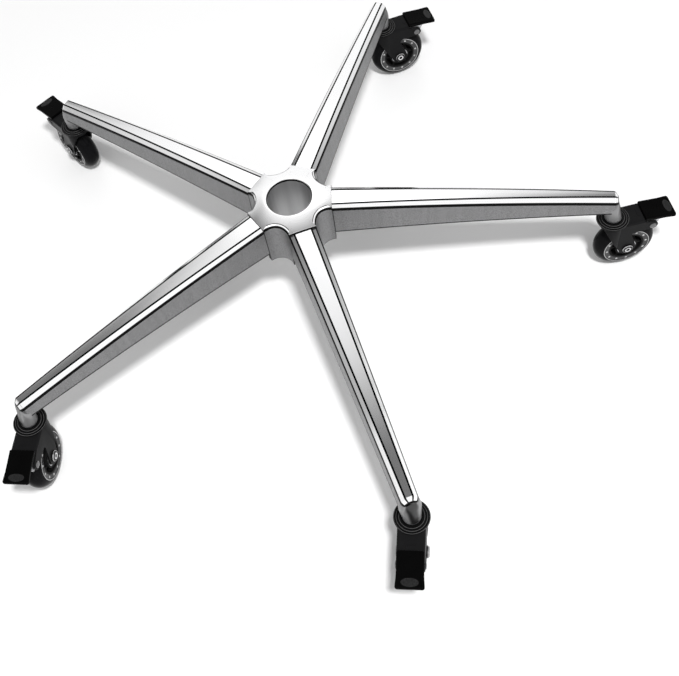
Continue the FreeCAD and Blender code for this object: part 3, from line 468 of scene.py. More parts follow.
def hub_grid(sizes):
    """The hub: a profile from the socket over dome, rim bevel and skirt, carried round its plan."""
    plan, normal, bevel, hollow, on_chord = hub_outline()
    radius = np.linalg.norm(plan, axis=-1)
    out = plan / radius[:, None]
    width = HUB_RIM_BEVEL * bevel
    deepest = HUB_RIM_BEVEL * 1.05
    drop = np.minimum(width, deepest)
    rim = plan - normal * width[:, None]
    rim_z = dome(np.linalg.norm(rim, axis=-1))
    roof = arm_top(ARM_ROOT) - BEVEL_DROP[0] - ARM_ROOF - 0.05
    draft = np.where(on_chord, 0.0, HUB_DRAFT)[:, None]
    skirt_foot = np.where(hollow[:, None], plan, plan + normal * draft)
    skirt_z = np.where(hollow, roof, -HUB_DEPTH)
    sleeve_x = np.sqrt(np.maximum(SLEEVE_RADIUS ** 2 - plan[:, 1] ** 2, 1.0))
    beside_chord = np.stack([sleeve_x, plan[:, 1]], axis=-1)
    sleeve = np.where(on_chord[:, None], beside_chord, out * SLEEVE_RADIUS)
    inner_mid = np.where(hollow[:, None], sleeve, (skirt_foot + sleeve) / 2)

    def lifted(flat, z):
        return np.concatenate([flat, np.broadcast_to(z, radius.shape)[:, None]], axis=-1)

    lip = BORE_MOUTH_RADIUS + BORE_CHAMFER
    lined = BORE_MOUTH_RADIUS - RIM_LINE / TAPER_RUN
    top = []
    for share in np.linspace(0.0, 1.0, HUB_TOP_ROWS + 2)[1:-1]:
        flat = out * lip + (rim - out * lip) * share
        top.append(lifted(flat, dome(np.linalg.norm(flat, axis=-1))))
    corners = np.stack([
        lifted(out * BORE_FOOT_RADIUS, -SLEEVE_FOOT), lifted(out * lined, -RIM_LINE),
        lifted(out * BORE_MOUTH_RADIUS, -BORE_CHAMFER), lifted(out * lip, 0.0)] + top + [
        lifted(rim, rim_z), lifted(plan, rim_z - drop), lifted(skirt_foot, skirt_z),
        lifted(inner_mid, skirt_z), lifted(sleeve, -SLEEVE_FOOT)], axis=1)
    edge = sizes.edge_round / MM
    line = sizes.facet_edge_round / MM
    small = LOWER_EDGE_ROUND
    reach = np.array([small, 0.2, 0.3, 0.4] + [0.5] * HUB_TOP_ROWS + [line, edge, small, 1.0, small])
    loops = rounded(corners, reach)

    none, all_on = (0, 0, 0), (1, 1, 1)

    def along_profile(rim_mask, plan_mask, foot_mask):
        # Painted shade: a dark line just below the socket's rim
        bore = [none, (0, 1, 1), (1, 1, .3), none]
        return corner_mask(bore + [none] * HUB_TOP_ROWS + [rim_mask, plan_mask, foot_mask, none, none])

    polish = corner_mask([none, none, (0, .5, 1), all_on] + [all_on] * HUB_TOP_ROWS
                         + [all_on, (1, 1, 0), none, none, none])
    # Painted shade: dark lines along the rim bevel, the plan corner and the skirt's foot stand in for shade
    # and dark reflections
    sweep_line = along_profile((0, .6, 0), (0, 1, 0), (0, .6, 0))
    chord_line = along_profile(none, (0, 1, 1), (1, 0, 0))
    seam_line = along_profile((0, .6, 0), (0, 1, .6), (.6, .6, 0))
    column = np.arange(len(plan))
    seam = (column == np.argmin(on_chord)) | (column == len(plan) - 1)
    dark = np.where(on_chord[:, None], chord_line[None, :],
                    np.where(seam[:, None], seam_line[None, :], sweep_line[None, :]))
    sectors = np.concatenate([turned(loops, 2 * HALF_SECTOR * k) for k in range(ARM_COUNT)])
    return sectors, polish[None, :], np.tile(dark, (ARM_COUNT, 1))


def casting_shell(sizes):
    """The whole casting: hub, then each arm with its boss and ribs."""
    shell = Shell(masks=("polish", "edge_line", "boss", "outermost", "socket"))
    points, polish, dark = hub_grid(sizes)
    across = np.linalg.norm(points[..., :2], axis=-1)
    socket = (across < BORE_MOUTH_RADIUS) & (points[..., 2] < -BORE_CHAMFER)
    shell.grid(points, wrap_rows=True, polish=polish, edge_line=dark, socket=socket)
    arm, arm_polish, arm_dark = arm_grid(sizes)
    boss, outermost = boss_grid()
    ribs = list(rib_grids())
    for k in range(ARM_COUNT):
        angle = 2 * HALF_SECTOR * k
        shell.grid(turned(arm, angle), caps=True, polish=arm_polish, edge_line=arm_dark)
        shell.grid(turned(boss, angle), caps=True, boss=1.0, outermost=outermost)
        for rib in ribs:
            shell.grid(turned(rib, angle), caps=True)
    return shell


# The casters' surfaces, each about its own stem, axle or pin

def race_cap_grid():
    """Pressed cap: a stepped profile with a round lip on each step, carried round the stem."""
    collar, skirt_foot = 85.8, 82.55
    hole, first, outer = 4.6, 10.4, 18.5
    steps = 3
    step = (outer - first) / steps
    fall = 0.65
    lip = 0.22
    sheet = 0.9
    profile = [(hole, collar), (first - 0.5, collar)]
    for i in range(steps):
        level = collar - fall * i
        profile += [(first + step * i - 0.1, level + lip * (i > 0)), (first + step * i, level - fall),
                    (first + step * (i + 1) - 1.0, level - fall)]
    rim = collar - steps * fall
    profile += [(outer - 0.5, rim + lip), (outer, rim - 0.3), (outer, skirt_foot),
                (outer - sheet, skirt_foot), (outer - sheet, rim - sheet), (hole, collar - sheet)]
    loop = rounded(np.array([profile]), 0.3)[0]
    # Painted highlight: grey lines on the step lips stand in for the light that they catch
    none, lip_line = (0, 0, 0), (0, 1, 0)
    worn = corner_mask([none] * 5 + [lip_line, none, none] * 2 + [lip_line] + [none] * 5)
    return lathe(loop, 96), worn[None, :]


def tread_grid():
    """Running band: side faces, a round shoulder and a circular crown, carried round the axle.

    Marks show the greyer ring of its sides and the painted highlight line on its shoulders.
    """
    side = WHEEL_RADIUS - TREAD_CROWN
    half = WHEEL_HALF_WIDTH
    crown_radius = (TREAD_CROWN ** 2 + half ** 2) / (2 * TREAD_CROWN)
    reach = math.asin(half / crown_radius)
    angle = np.linspace(-reach, reach, 25)
    crown_reach = WHEEL_RADIUS - crown_radius * (1 - np.cos(angle))
    crown = np.stack([crown_reach, crown_radius * np.sin(angle)], axis=-1)[1:-1]
    inner = CORE_RADIUS
    right = np.array([(side + 0.3, half - 0.12), (side, half), (side - 0.35, half), (side - 0.9, half),
                      (side - 1.3, half - 0.35), (inner + 0.6, half - 0.6), (inner, half - 0.9)])
    left = right[::-1] * np.array([1.0, -1.0])
    profile = np.concatenate([crown, right, left])
    outside = np.zeros(len(crown))
    band = np.concatenate([outside, [0, 0, 0, 0, 1, 1, 0], [0, 1, 1, 0, 0, 0, 0]])
    # Painted highlight: a light line round each shoulder
    shine = np.concatenate([outside, [0, 1, 1, 0, 0, 0, 0], [0, 0, 0, 0, 1, 1, 0]])
    return lathe(profile, 120, "Y"), band[None, :], shine[None, :]


def spot_grids():
    """Round pale spots on the band that are painted highlights standing in for its glints: low domes on both
    sides.
    """
    count = 12
    circle, radius, rise, root = 23.4, 1.45, 0.45, -0.3
    bed = WHEEL_HALF_WIDTH - 0.55
    swing = np.linspace(0.0, math.pi / 2, 6)
    profile = np.stack([radius * np.cos(swing), rise * np.sin(swing)], axis=-1)
    profile = np.concatenate([[(0.0, root), (radius, root)], profile])
    dome_points = lathe(profile, 18, "Y")
    for side in (1.0, -1.0):
        for i in range(count):
            angle = 2 * math.pi * (i + 0.25) / count
            place = np.array([circle * math.cos(angle), side * bed, circle * math.sin(angle)])
            yield dome_points * np.array([1.0, side, 1.0]) + place


def bolt_head_grid(side, shank_radius, shank_end):
    """Axle half: hexagon recess, ring face and round rim, then a plain shank, carried round the axle.

    In the recess the radius at angle a is k / cos(a - nearest flat), which is a hexagon. Marks show
    where dark rings are painted on the bright head as painted reflection.
    """
    steps = 72
    angle = np.linspace(0.0, 2 * math.pi, steps, endpoint=False)
    flat = np.mod(angle + math.pi / 6, math.pi / 3) - math.pi / 6
    half_key = 2.0
    hexagon = half_key / np.cos(flat)
    ring = np.ones(steps)
    face = CHEEK_FACE
    top = face + 2.9
    floor = top - 1.8
    rows = [(0.0 * ring, floor), (hexagon, floor), (hexagon, top - 0.35), (hexagon + 0.25, top - 0.1),
            (3.6 * ring, top - 0.05), (3.9 * ring, top - 0.3), (4.2 * ring, top - 0.05),
            (4.9 * ring, top - 0.1), (5.7 * ring, top - 0.5), (6.2 * ring, top - 1.2),
            (6.45 * ring, top - 2.0),
            (6.5 * ring, face + 0.15), (6.35 * ring, face), (shank_radius * ring, face),
            (shank_radius * ring, shank_end), (0.0 * ring, shank_end)]
    # Painted reflection: 1 marks dark rings painted on the bright head, 0 leaves it bright
    black = np.array([1, 1, 1, 0, 0.2, 1, 1, 1, 0.9, 0.4, 1, 1, 1, 1, 1, 1])
    radius = np.stack([row[0] for row in rows], axis=1)
    height = side * np.broadcast_to([row[1] for row in rows], radius.shape)
    c, s = np.cos(angle)[:, None], np.sin(angle)[:, None]
    return np.stack([radius * c, height, radius * s], axis=-1), black[None, :]


def brake_pin_grid():
    """Riveted pin: shank and two low round heads, carried round the pin's line."""
    face = CHEEK_FACE
    swing = np.linspace(0.0, math.pi / 2, 8)
    dome_points = np.stack([4.0 * np.cos(swing), face + 0.35 + 1.15 * np.sin(swing)], axis=-1)
    half = np.concatenate([[(2.0, face), (3.9, face)], dome_points])
    profile = np.concatenate([half[::-1] * np.array([1.0, -1.0]), half])
    return lathe(profile, 48, "Y")


def pedal_grid():
    """Moulded pedal: a rounded section carried along x, wider at its end, with both ends rounded off."""
    front, reach = -10.8, 26.0
    half_front, half_rear = 13.6, 14.6
    bottom, top_front, top_rear = 9.1, 13.9, 12.6
    length = reach - front
    front_round, rear_round, rear_sink = 0.9, 2.6, 1.4
    flare_start = 13.2
    rows = 22
    swing = np.linspace(0.0, math.pi / 2, 8)
    near = front + front_round * (1 - np.cos(swing))
    middle = np.linspace(front + 1.2, reach - rear_round - 0.3, rows)
    far = reach - rear_round * (1 - np.sin(swing))
    x = np.concatenate([near, middle, far])
    flat = np.zeros(rows)
    near_inset = front_round * (1 - np.sin(swing))
    inset = np.concatenate([near_inset, flat, rear_round * (1 - np.cos(swing))])
    sink = np.concatenate([near_inset, flat, rear_sink * (1 - np.cos(swing))])
    share = (x - front) / length
    flare = np.clip((x - flare_start) / (reach - flare_start), 0.0, 1.0)
    half = half_front + (half_rear - half_front) * flare - inset
    top = top_front + (top_rear - top_front) * share - sink
    low = bottom + 0.4 * sink
    dish = 0.35 * np.sin(np.clip(share, 0.0, 1.0) * math.pi)
    corners = np.stack([np.stack(pair, axis=-1) for pair in [
        (-half, low), (-half, top - 0.5), (-half + 1.6, top), (-0.5 * half, top - 0.6 * dish),
        (0.0 * half, top - dish), (0.5 * half, top - 0.6 * dish), (half - 1.6, top), (half, top - 0.5),
        (half, low)]], axis=1)
    reach_of = np.array([0.6, 0.9, 1.2, 1.0, 1.0, 1.0, 1.2, 0.9, 0.6])
    loops = rounded(corners, reach_of)
    x_grid = np.broadcast_to(x[:, None], loops.shape[:2])
    return on_pin(np.concatenate([x_grid[..., None], loops], axis=-1))


def pad_grid():
    """Oval pad: an ellipse whose rim is rounded, set into the pedal's sloping top."""
    middle, half_length, half_width = 19.6, 4.3, 9.0
    seat, slope = 12.55, 0.0354
    rows = np.array([(0.0, 0.34), (0.45, 0.36), (0.8, 0.36), (0.93, 0.3), (0.99, 0.14), (1.0, -0.1),
                     (1.0, -1.2), (0.0, -1.2)])
    angle = np.linspace(0.0, 2 * math.pi, 64, endpoint=False)[:, None]
    x = middle + half_length * rows[None, :, 0] * np.cos(angle)
    y = half_width * rows[None, :, 0] * np.sin(angle)
    z = seat - slope * (x - middle) + rows[None, :, 1]
    return on_pin(np.stack([x, y, z], axis=-1))


def softened_copy(node, name, width):
    """A merged copy of a CAD node with its coplanar faces joined and its edges bevelled."""
    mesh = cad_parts[node].data.copy()
    mesh.name = name

    def join_flats(cleaned):
        bmesh.ops.dissolve_limit(cleaned, angle_limit=math.radians(0.5), verts=cleaned.verts,
                                 edges=cleaned.edges, delimit={"NORMAL"})

    piece = cleaned_object(name, mesh, join_flats, merge=2e-6, sharp=32.0)
    bevel = piece.modifiers.new("Soft edges", "BEVEL")
    bevel.width = width * MM
    bevel.segments = 2
    bevel.limit_method = "ANGLE"
    bevel.angle_limit = math.radians(40)
    bevel.harden_normals = True
    return piece


# Materials

class Number:
    """A number that a node gives, so that shader maths reads as an expression."""

    def __init__(self, graph, socket):
        self.graph = graph
        self.socket = socket

    def _with(self, operation, first, second=None):
        values = {0: first}
        if second is not None:
            values[1] = second
        return self.graph.number("ShaderNodeMath", {"operation": operation}, values)

    def __add__(self, other):
        return self._with("ADD", self, other)

    __radd__ = __add__

    def __sub__(self, other):
        return self._with("SUBTRACT", self, other)

    def __rsub__(self, other):
        return self._with("SUBTRACT", other, self)

    def __mul__(self, other):
        return self._with("MULTIPLY", self, other)

    __rmul__ = __mul__

    def ramp(self, low, high):
        """0 below low, 1 above high, and a smooth step between."""
        return self.graph.number("ShaderNodeMapRange", {"interpolation_type": "SMOOTHSTEP"},
                                 {"Value": self, "From Min": low, "From Max": high})


class Graph:
    """The nodes of a material or of the room, with the shader that they feed."""

    def __init__(self, tree, shader):
        self.tree = tree
        self.shader = tree.nodes[shader]

    def fill(self, socket, value):
        """Links a socket to a number or another socket, or writes a plain value on it."""
        if isinstance(value, Number):
            value = value.socket
        if isinstance(value, bpy.types.NodeSocket):
            self.tree.links.new(value, socket)
        else:
            socket.default_value = value

    def node(self, kind, settings=None, values=None):
        """Adds a node with its settings and fills its inputs by name or place."""
        made = self.tree.nodes.new(kind)
        for label, value in (settings or {}).items():
            setattr(made, label, value)
        for label, value in (values or {}).items():
            self.fill(made.inputs[label], value)
        return made

    def number(self, kind, settings=None, values=None, output=0):
        return Number(self, self.node(kind, settings, values).outputs[output])

    def ray(self, kind):
        """1 for rays of one kind and 0 for the rest."""
        return self.number("ShaderNodeLightPath", output=kind)

    def place(self):
        """The point's own place on the object."""
        return self.node("ShaderNodeTexCoord").outputs["Object"]

    def facing(self, azimuth, elevation):
        """Cosine between the direction looked at in the room and one given in degrees."""
        turn, rise = math.radians(azimuth), math.radians(elevation)
        aim = (math.cos(rise) * math.cos(turn), math.cos(rise) * math.sin(turn), math.sin(rise))
        here = self.node("ShaderNodeTexCoord").outputs["Generated"]
        dot = self.node("ShaderNodeVectorMath", {"operation": "DOT_PRODUCT"}, {0: here, 1: aim})
        return Number(self, dot.outputs["Value"])

    def stretched(self, place, scale):
        return self.node("ShaderNodeMapping", {}, {"Vector": place, "Scale": scale}).outputs[0]

    def noise(self, place, scale, detail=3.0, roughness=0.5):
        return self.number("ShaderNodeTexNoise", {}, {"Vector": place, "Scale": scale, "Detail": detail,
                                                      "Roughness": roughness})

    def mask(self, name):
        """A mark that the surface carries at its points."""
        return self.number("ShaderNodeAttribute", {"attribute_name": name}, {}, "Fac")

    def blend(self, share, first, second):
        """Colour between two colours, either of them a socket or four numbers."""
        values = {0: share, 6: first, 7: second}
        mix = self.node("ShaderNodeMix", {"data_type": "RGBA"}, values)
        return mix.outputs[2]

    def feed(self, label, value):
        self.fill(self.shader.inputs[label], value)

    def bump(self, height, strength, distance):
        values = {"Height": height, "Strength": strength, "Distance": distance}
        self.feed("Normal", self.node("ShaderNodeBump", {}, values).outputs[0])


class Finish(Graph):
    """A material whose Principled shader starts from the given values."""

    def __init__(self, name, **values):
        self.material = bpy.data.materials.new(name)
        self.material.use_nodes = True
        super().__init__(self.material.node_tree, "Principled BSDF")
        for label, value in values.items():
            self.shader.inputs[label.replace("_", " ")].default_value = value


def colour(value):
    return (*value, 1.0)


def grey(level):
    return (level, level, level, 1.0)


def shaded(value, share):
    """A colour made darker or brighter by a share."""
    return colour([share * part for part in value])


def cast_aluminium(finishes):
    """Polished facets and bevels, plain cast walls with fine grain, and painted dark lines of shade and dark
    reflection along the edges.
    """
    g = Finish("cast_aluminium")
    place = g.place()
    polish = g.mask("polish")
    boss = g.mask("boss")
    cloud = g.noise(place, 22.0, 2.0)
    grain = g.noise(place, 900.0, 4.0, 0.7)
    streak = g.noise(g.stretched(place, (190.0, 190.0, 7.0)), 1.0, 2.0)
    mottle = 0.65 * grain.ramp(0.3, 0.7) + 0.35 * streak
    cast = g.blend(mottle, shaded(finishes.cast, 0.6), shaded(finishes.cast, 1.4))
    bright = g.blend(cloud, shaded(finishes.polished, 0.96), colour(finishes.polished))
    bore = g.blend(streak.ramp(0.3, 0.75), shaded(finishes.socket, 0.94), shaded(finishes.socket, 1.06))
    plain = g.blend(g.mask("socket"), cast, bore)
    # Painted reflection: the dark strip on the boss's outer side
    outermost = g.mask("outermost")
    boss_side = g.blend(outermost, colour(finishes.boss), shaded(finishes.boss, 0.04))
    surface = g.blend(boss, g.blend(polish, plain, bright), boss_side)
    # Painted shade: dark lines along the edges and creases stand in for shade and dark reflections
    line = g.mask("edge_line").ramp(0.1, 0.8)
    g.feed("Base Color", g.blend(line, surface, colour(finishes.edge_line)))
    g.feed("Metallic", 1 - 0.85 * boss - 0.15 * outermost)
    cast_rough = 0.45 + 0.1 * grain
    boss_rough = 0.32
    bright_rough = 0.12 + 0.05 * cloud
    dull_rough = cast_rough * (1 - boss) + boss_rough * boss
    g.feed("Roughness", dull_rough * (1 - polish) + bright_rough * polish)
    g.bump(grain * (1 - polish) * (1 - boss), 0.3, 0.00025)
    return g.material


def black_steel(name, base, specular, gloss):
    """Black coated sheet: a faint orange-peel and cloudy gloss, with a painted highlight in grey along the
    race caps' lips.
    """
    g = Finish(name, Specular_IOR_Level=specular)
    place = g.place()
    peel = g.noise(place, 620.0, 2.0)
    cloud = g.noise(place, 60.0, 3.0)
    coat = g.blend(cloud, colour(base), shaded(base, 1.6))
    # Painted highlight: grey where the lips are marked
    g.feed("Base Color", g.blend(g.mask("worn"), coat, grey(0.1)))
    g.feed("Roughness", gloss + 0.1 * cloud)
    g.bump(peel, 0.1, 0.0002)
    return g.material


def bright_steel(name, base):
    """Plated heads with faint turning marks, and painted dark reflection rings where a head is marked for
    them.
    """
    g = Finish(name, Metallic=1.0)
    place = g.place()
    marks = g.noise(place, 800.0, 3.0)
    bright = g.blend(marks, shaded(base, 0.85), colour(base))
    # Painted reflection: dark where the head is marked
    g.feed("Base Color", g.blend(g.mask("blackened"), bright, grey(0.004)))
    g.feed("Roughness", 0.09 + 0.1 * marks)
    return g.material


def plain_steel():
    """Zinc-plated working pieces: dull, with a soft spangle."""
    g = Finish("zinc_plated_steel", Metallic=1.0)
    place = g.place()
    spangle = g.noise(place, 260.0, 3.0, 0.6)
    g.feed("Base Color", g.blend(spangle, (0.38, 0.38, 0.4, 1.0), (0.6, 0.6, 0.61, 1.0)))
    g.feed("Roughness", 0.28 + 0.2 * spangle)
    g.bump(spangle, 0.08, 0.0002)
    return g.material


def tread_urethane(finishes):
    """Smoky running band: glossy and nearly black, with a greyer ring where the core shows through
    and a painted highlight line round each shoulder."""
    g = Finish("smoky_urethane", Specular_IOR_Level=0.03)
    place = g.place()
    cloud = g.noise(place, 90.0, 3.0)
    band = g.mask("band")
    smoke = g.blend(cloud, colour(finishes.tread), shaded(finishes.tread, 1.8))
    banded = g.blend(band, smoke, colour(finishes.tread_band))
    # Painted highlight: light grey line round each shoulder
    g.feed("Base Color", g.blend(g.mask("shine"), banded, grey(0.45)))
    g.feed("Roughness", 0.1 + 0.06 * cloud)
    return g.material


def clear_spot():
    """Pale spots, painted highlights that stand in for glints on the band."""
    g = Finish("anchor_spot", Coat_Weight=0.3, Coat_Roughness=0.04, Metallic=0.3)
    cloud = g.noise(g.place(), 400.0, 2.0)
    # Painted highlight: pale colour that stands in for glints
    g.feed("Base Color", g.blend(cloud, grey(0.1), grey(0.7)))
    g.feed("Roughness", 0.12 + 0.1 * cloud)
    return g.material


def moulded_plastic(name, base, gloss, grain_scale):
    """Moulded black plastic with a fine spark-eroded grain."""
    g = Finish(name, Specular_IOR_Level=0.02)
    place = g.place()
    grain = g.noise(place, grain_scale, 3.0, 0.6)
    cloud = g.noise(place, 70.0, 2.0)
    g.feed("Base Color", g.blend(cloud, colour(base), shaded(base, 1.7)))
    g.feed("Roughness", gloss + 0.12 * grain)
    g.bump(grain, 0.15, 0.0001)
    return g.material


def streaked_pad(finishes):
    """Oval pad: greyer plastic with fine streaks across the pedal."""
    g = Finish("streaked_pad", Specular_IOR_Level=0.2)
    streak = g.noise(g.stretched(g.place(), (900.0, 900.0, 40.0)), 1.0, 3.0)
    g.feed("Base Color", g.blend(streak.ramp(0.35, 0.7), shaded(finishes.pad, 0.6),
                                 shaded(finishes.pad, 1.5)))
    g.feed("Roughness", 0.35 + 0.15 * streak)
    return g.material


def floor_finish(stage):
    """Matte pale floor, a shade cloudier in places. Far from the object it shows as plain white to the
    camera and in the metal, and near it the floor is lit by the lamp and keeps the shadow."""
    g = Finish("pale_floor", Roughness=0.9, Specular_IOR_Level=0.0, Emission_Strength=1.0)
    place = g.place()
    cloud = g.noise(place, 1.3, 2.0)
    distance = g.number("ShaderNodeVectorMath", {"operation": "LENGTH"}, {0: place}, "Value")
    seen = g.ray("Is Camera Ray") + g.ray("Is Glossy Ray")
    white = distance.ramp(FLOOR_LIT, FLOOR_WHITE) * seen
    lit = g.blend(cloud, shaded(stage.floor, 0.99), colour(stage.floor))
    g.feed("Base Color", g.blend(white, lit, grey(0.0)))
    g.feed("Emission Color", white)
    return g.material


# How each kind of material is made from the finishes
MATERIAL_MAKERS = {
    "casting": cast_aluminium,
    "coating": lambda f: black_steel("black_coated_steel", f.coating, 0.04, 0.28),
    "cap": lambda f: black_steel("glossy_black_steel", shaded(f.coating, 0.4)[:3], 0.05, 0.1),
    "plating": lambda f: bright_steel("bright_plated_steel", f.plating),
    "rivet": lambda f: bright_steel("dull_plated_steel", f.rivet),
    "zinc": lambda f: plain_steel(),
    "tread": tread_urethane,
    "spot": lambda f: clear_spot(),
    "core": lambda f: moulded_plastic("moulded_nylon", f.core, 0.4, 700.0),
    "pedal": lambda f: moulded_plastic("pedal_plastic", f.pedal, 0.22, 500.0),
    "pad": streaked_pad,
}
made_materials = {}


def material(kind):
    """Makes a material the first time that it is asked for, and then gives the same one."""
    if kind not in made_materials:
        made_materials[kind] = MATERIAL_MAKERS[kind](bpy.context.scene.star_finishes)
    return made_materials[kind]


# What a user can change

class StarCastingSizes(bpy.types.PropertyGroup):
    """Edge and facet sizes of the casting that the CAD leaves sharp and flat."""
    edge_round: bpy.props.FloatProperty(
        name="Edge round", description="How far the rounding of the casting's outer edges reaches",
        default=0.0017, min=0.0002, max=0.002, unit="LENGTH")
    facet_edge_round: bpy.props.FloatProperty(
        name="Facet edge round", description="How far the rounding between facet and bevel reaches",
        default=0.0009, min=0.0001, max=0.001, unit="LENGTH")
    facet_crown: bpy.props.FloatProperty(
        name="Facet crown", description="Rise of the polished top facet across its middle",
        default=0.00012, min=0.0, max=0.0005, unit="LENGTH")


def colour_property(name, description, default):
    """A colour that a user can change."""
    return bpy.props.FloatVectorProperty(name=name, description=description, default=default, size=3,
                                         min=0.0, max=1.0, subtype="COLOR")


class StarFinishes(bpy.types.PropertyGroup):
    """Colours of the finishes."""
    polished: colour_property(
        name="Polished aluminium", description="Facets, bevels and the hub's top",
        default=(0.89, 0.89, 0.895))
    cast: colour_property(
        name="Cast walls", description="Unpolished side walls and underside", default=(0.235, 0.235, 0.238))
    socket: colour_property(
        name="Lift socket", description="Bored wall of the socket", default=(0.418, 0.418, 0.4224))
    boss: colour_property(
        name="Stem bosses", description="Dull round bosses over the casters", default=(0.205, 0.205, 0.207))
    # Painted shade: colour of the dark lines painted along the casting's edges for shade and dark reflection
    edge_line: colour_property(
        name="Edge lines", description="Dull line that polishing leaves along the edges",
        default=(0.008, 0.008, 0.008))
    coating: colour_property(
        name="Black coating", description="Forks and race caps", default=(0.0065, 0.0065, 0.0068))
    plating: colour_property(
        name="Bright plating", description="Axle heads", default=(0.85, 0.85, 0.86))
    rivet: colour_property(
        name="Dull plating", description="Heads of the brake pins", default=(0.16, 0.16, 0.162))
    tread: colour_property(
        name="Tread", description="Smoky running band", default=(0.0036, 0.0036, 0.00396))
    tread_band: colour_property(
        name="Tread side ring", description="Greyer ring where the core shows through",
        default=(0.065, 0.065, 0.066))
    core: colour_property(
        name="Wheel core", description="Moulded nylon core", default=(0.0072, 0.0072, 0.0072))
    pedal: colour_property(
        name="Pedal", description="Moulded brake pedal", default=(0.0015, 0.0015, 0.0015))
    pad: colour_property(
        name="Pedal pad", description="Oval pad on the pedal", default=(0.0126, 0.0126, 0.01278))


class StarStage(bpy.types.PropertyGroup):
    """Camera, floor, lamp and room light."""
    camera_place: bpy.props.FloatVectorProperty(
        name="Camera", description="Where the camera stands", size=3,
        default=(0.11998, -0.68128, 0.83836), subtype="TRANSLATION", unit="LENGTH")
    camera_aim: bpy.props.FloatVectorProperty(
        name="Aim", description="Point on the floor that the camera looks at", size=3,
        default=(0.03787, -0.0846, -0.166), subtype="TRANSLATION", unit="LENGTH")
    camera_roll: bpy.props.FloatProperty(
        name="Roll", description="Turn of the camera about its own line of sight",
        default=math.radians(-10.57), subtype="ANGLE", unit="ROTATION")
    focal_length: bpy.props.FloatProperty(
        name="Focal length", description="Lens on a 36 mm wide sensor, in millimetres",
        default=52.18, min=10.0, max=200.0)
    floor: colour_property(
        name="Floor", description="Colour of the floor near the object", default=(0.95, 0.95, 0.95))
    key_power: bpy.props.FloatProperty(
        name="Overhead lamp", description="Power of the lamp overhead, in watts",
        default=50.0, min=0.0, max=1000.0)
    softboxes: bpy.props.FloatProperty(
        name="Softboxes", description="Brightness of the large softboxes round the room",
        default=0.95, min=0.0, max=4.0)
    room: bpy.props.FloatProperty(
        name="Room between them", description="Brightness of the room between the softboxes",
        default=0.17, min=0.0, max=2.0)
    room_share: bpy.props.FloatProperty(
        name="Room's share", description="Part of the room's light that falls on dull surfaces",
        default=0.6, min=0.0, max=1.0, subtype="FACTOR")


# Operators

class STARBASE_OT_casting(bpy.types.Operator):
    """Makes the cast star with its polished facets, cast walls, ribs and bosses"""
    bl_idname = "starbase.casting"
    bl_label = "Star Casting"

    def execute(self, context):
        piece = casting_shell(context.scene.star_sizes).mesh_object("star_casting")
        finish_piece(piece, "casting", "base", "polished_aluminium", "base_casting")
        return {"FINISHED"}


class STARBASE_OT_race_caps(bpy.types.Operator):
    """Makes the five pressed race caps with their ring lips"""
    bl_idname = "starbase.race_caps"
    bl_label = "Race Caps"

    def execute(self, context):
        shell = Shell(masks=("worn",))
        cap, worn = race_cap_grid()
        for k in range(ARM_COUNT):
            shell.grid(at_caster(cap, k), wrap_rows=True, worn=worn)
        finish_piece(shell.mesh_object("race_cap_rings"), "cap", "base", "black_steel", "race_caps")
        return {"FINISHED"}


class STARBASE_OT_forks(bpy.types.Operator):
    """Softens the edges of the five pressed forks"""
    bl_idname = "starbase.forks"
    bl_label = "Forks"

    def execute(self, context):
        for k in range(1, ARM_COUNT + 1):
            node = f"caster_{k}_fork"
            piece = softened_copy(node, f"fork_{k}", 0.35)
            finish_piece(piece, "coating", f"swivel_{k}", "black_steel", node)
        return {"FINISHED"}


class STARBASE_OT_wheels(bpy.types.Operator):
    """Makes the running bands of the five wheels and the pale spots on them that are painted highlights"""
    bl_idname = "starbase.wheels"
    bl_label = "Wheels"

    def execute(self, context):
        tread, band, shine = tread_grid()
        spots = [on_axle(spot) for spot in spot_grids()]
        for k in range(ARM_COUNT):
            shell = Shell(masks=("band", "shine"))
            shell.grid(at_caster(on_axle(tread), k), wrap_rows=True, band=band, shine=shine)
            finish_piece(shell.mesh_object(f"running_band_{k + 1}", 50.0), "tread", f"wheel_{k + 1}",
                         "tread_urethane", f"caster_{k + 1}_tread")
            shell = Shell()
            for spot in spots:
                shell.grid(at_caster(spot, k), wrap_rows=True)
            finish_piece(shell.mesh_object(f"anchor_spots_{k + 1}", 60.0), "spot", f"wheel_{k + 1}",
                         "tread_urethane")
        return {"FINISHED"}


class STARBASE_OT_axle_heads(bpy.types.Operator):
    """Makes the bright axle halves and brake pins of the five casters"""
    bl_idname = "starbase.axle_heads"
    bl_label = "Axle Heads and Brake Pins"

    def execute(self, context):
        barrel, barrel_black = bolt_head_grid(-1.0, 3.95, -12.0)
        screw, screw_black = bolt_head_grid(1.0, 2.95, 1.2)
        pin = on_pin(brake_pin_grid(), 0.0)
        kinds = (("axle_barrel", on_axle(barrel), "plating", False, barrel_black),
                 ("axle_screw", on_axle(screw), "plating", False, screw_black),
                 ("brake_pin", pin, "rivet", True, 0.0))
        for k in range(ARM_COUNT):
            for name, points, kind, closed, black in kinds:
                shell = Shell(masks=("blackened",))
                shell.grid(at_caster(points, k), wrap_rows=True, wrap_columns=closed, blackened=black)
                finish_piece(shell.mesh_object(f"{name}_{k + 1}", 40.0), kind, f"swivel_{k + 1}",
                             "bright_steel", f"caster_{k + 1}_{name}")
        return {"FINISHED"}


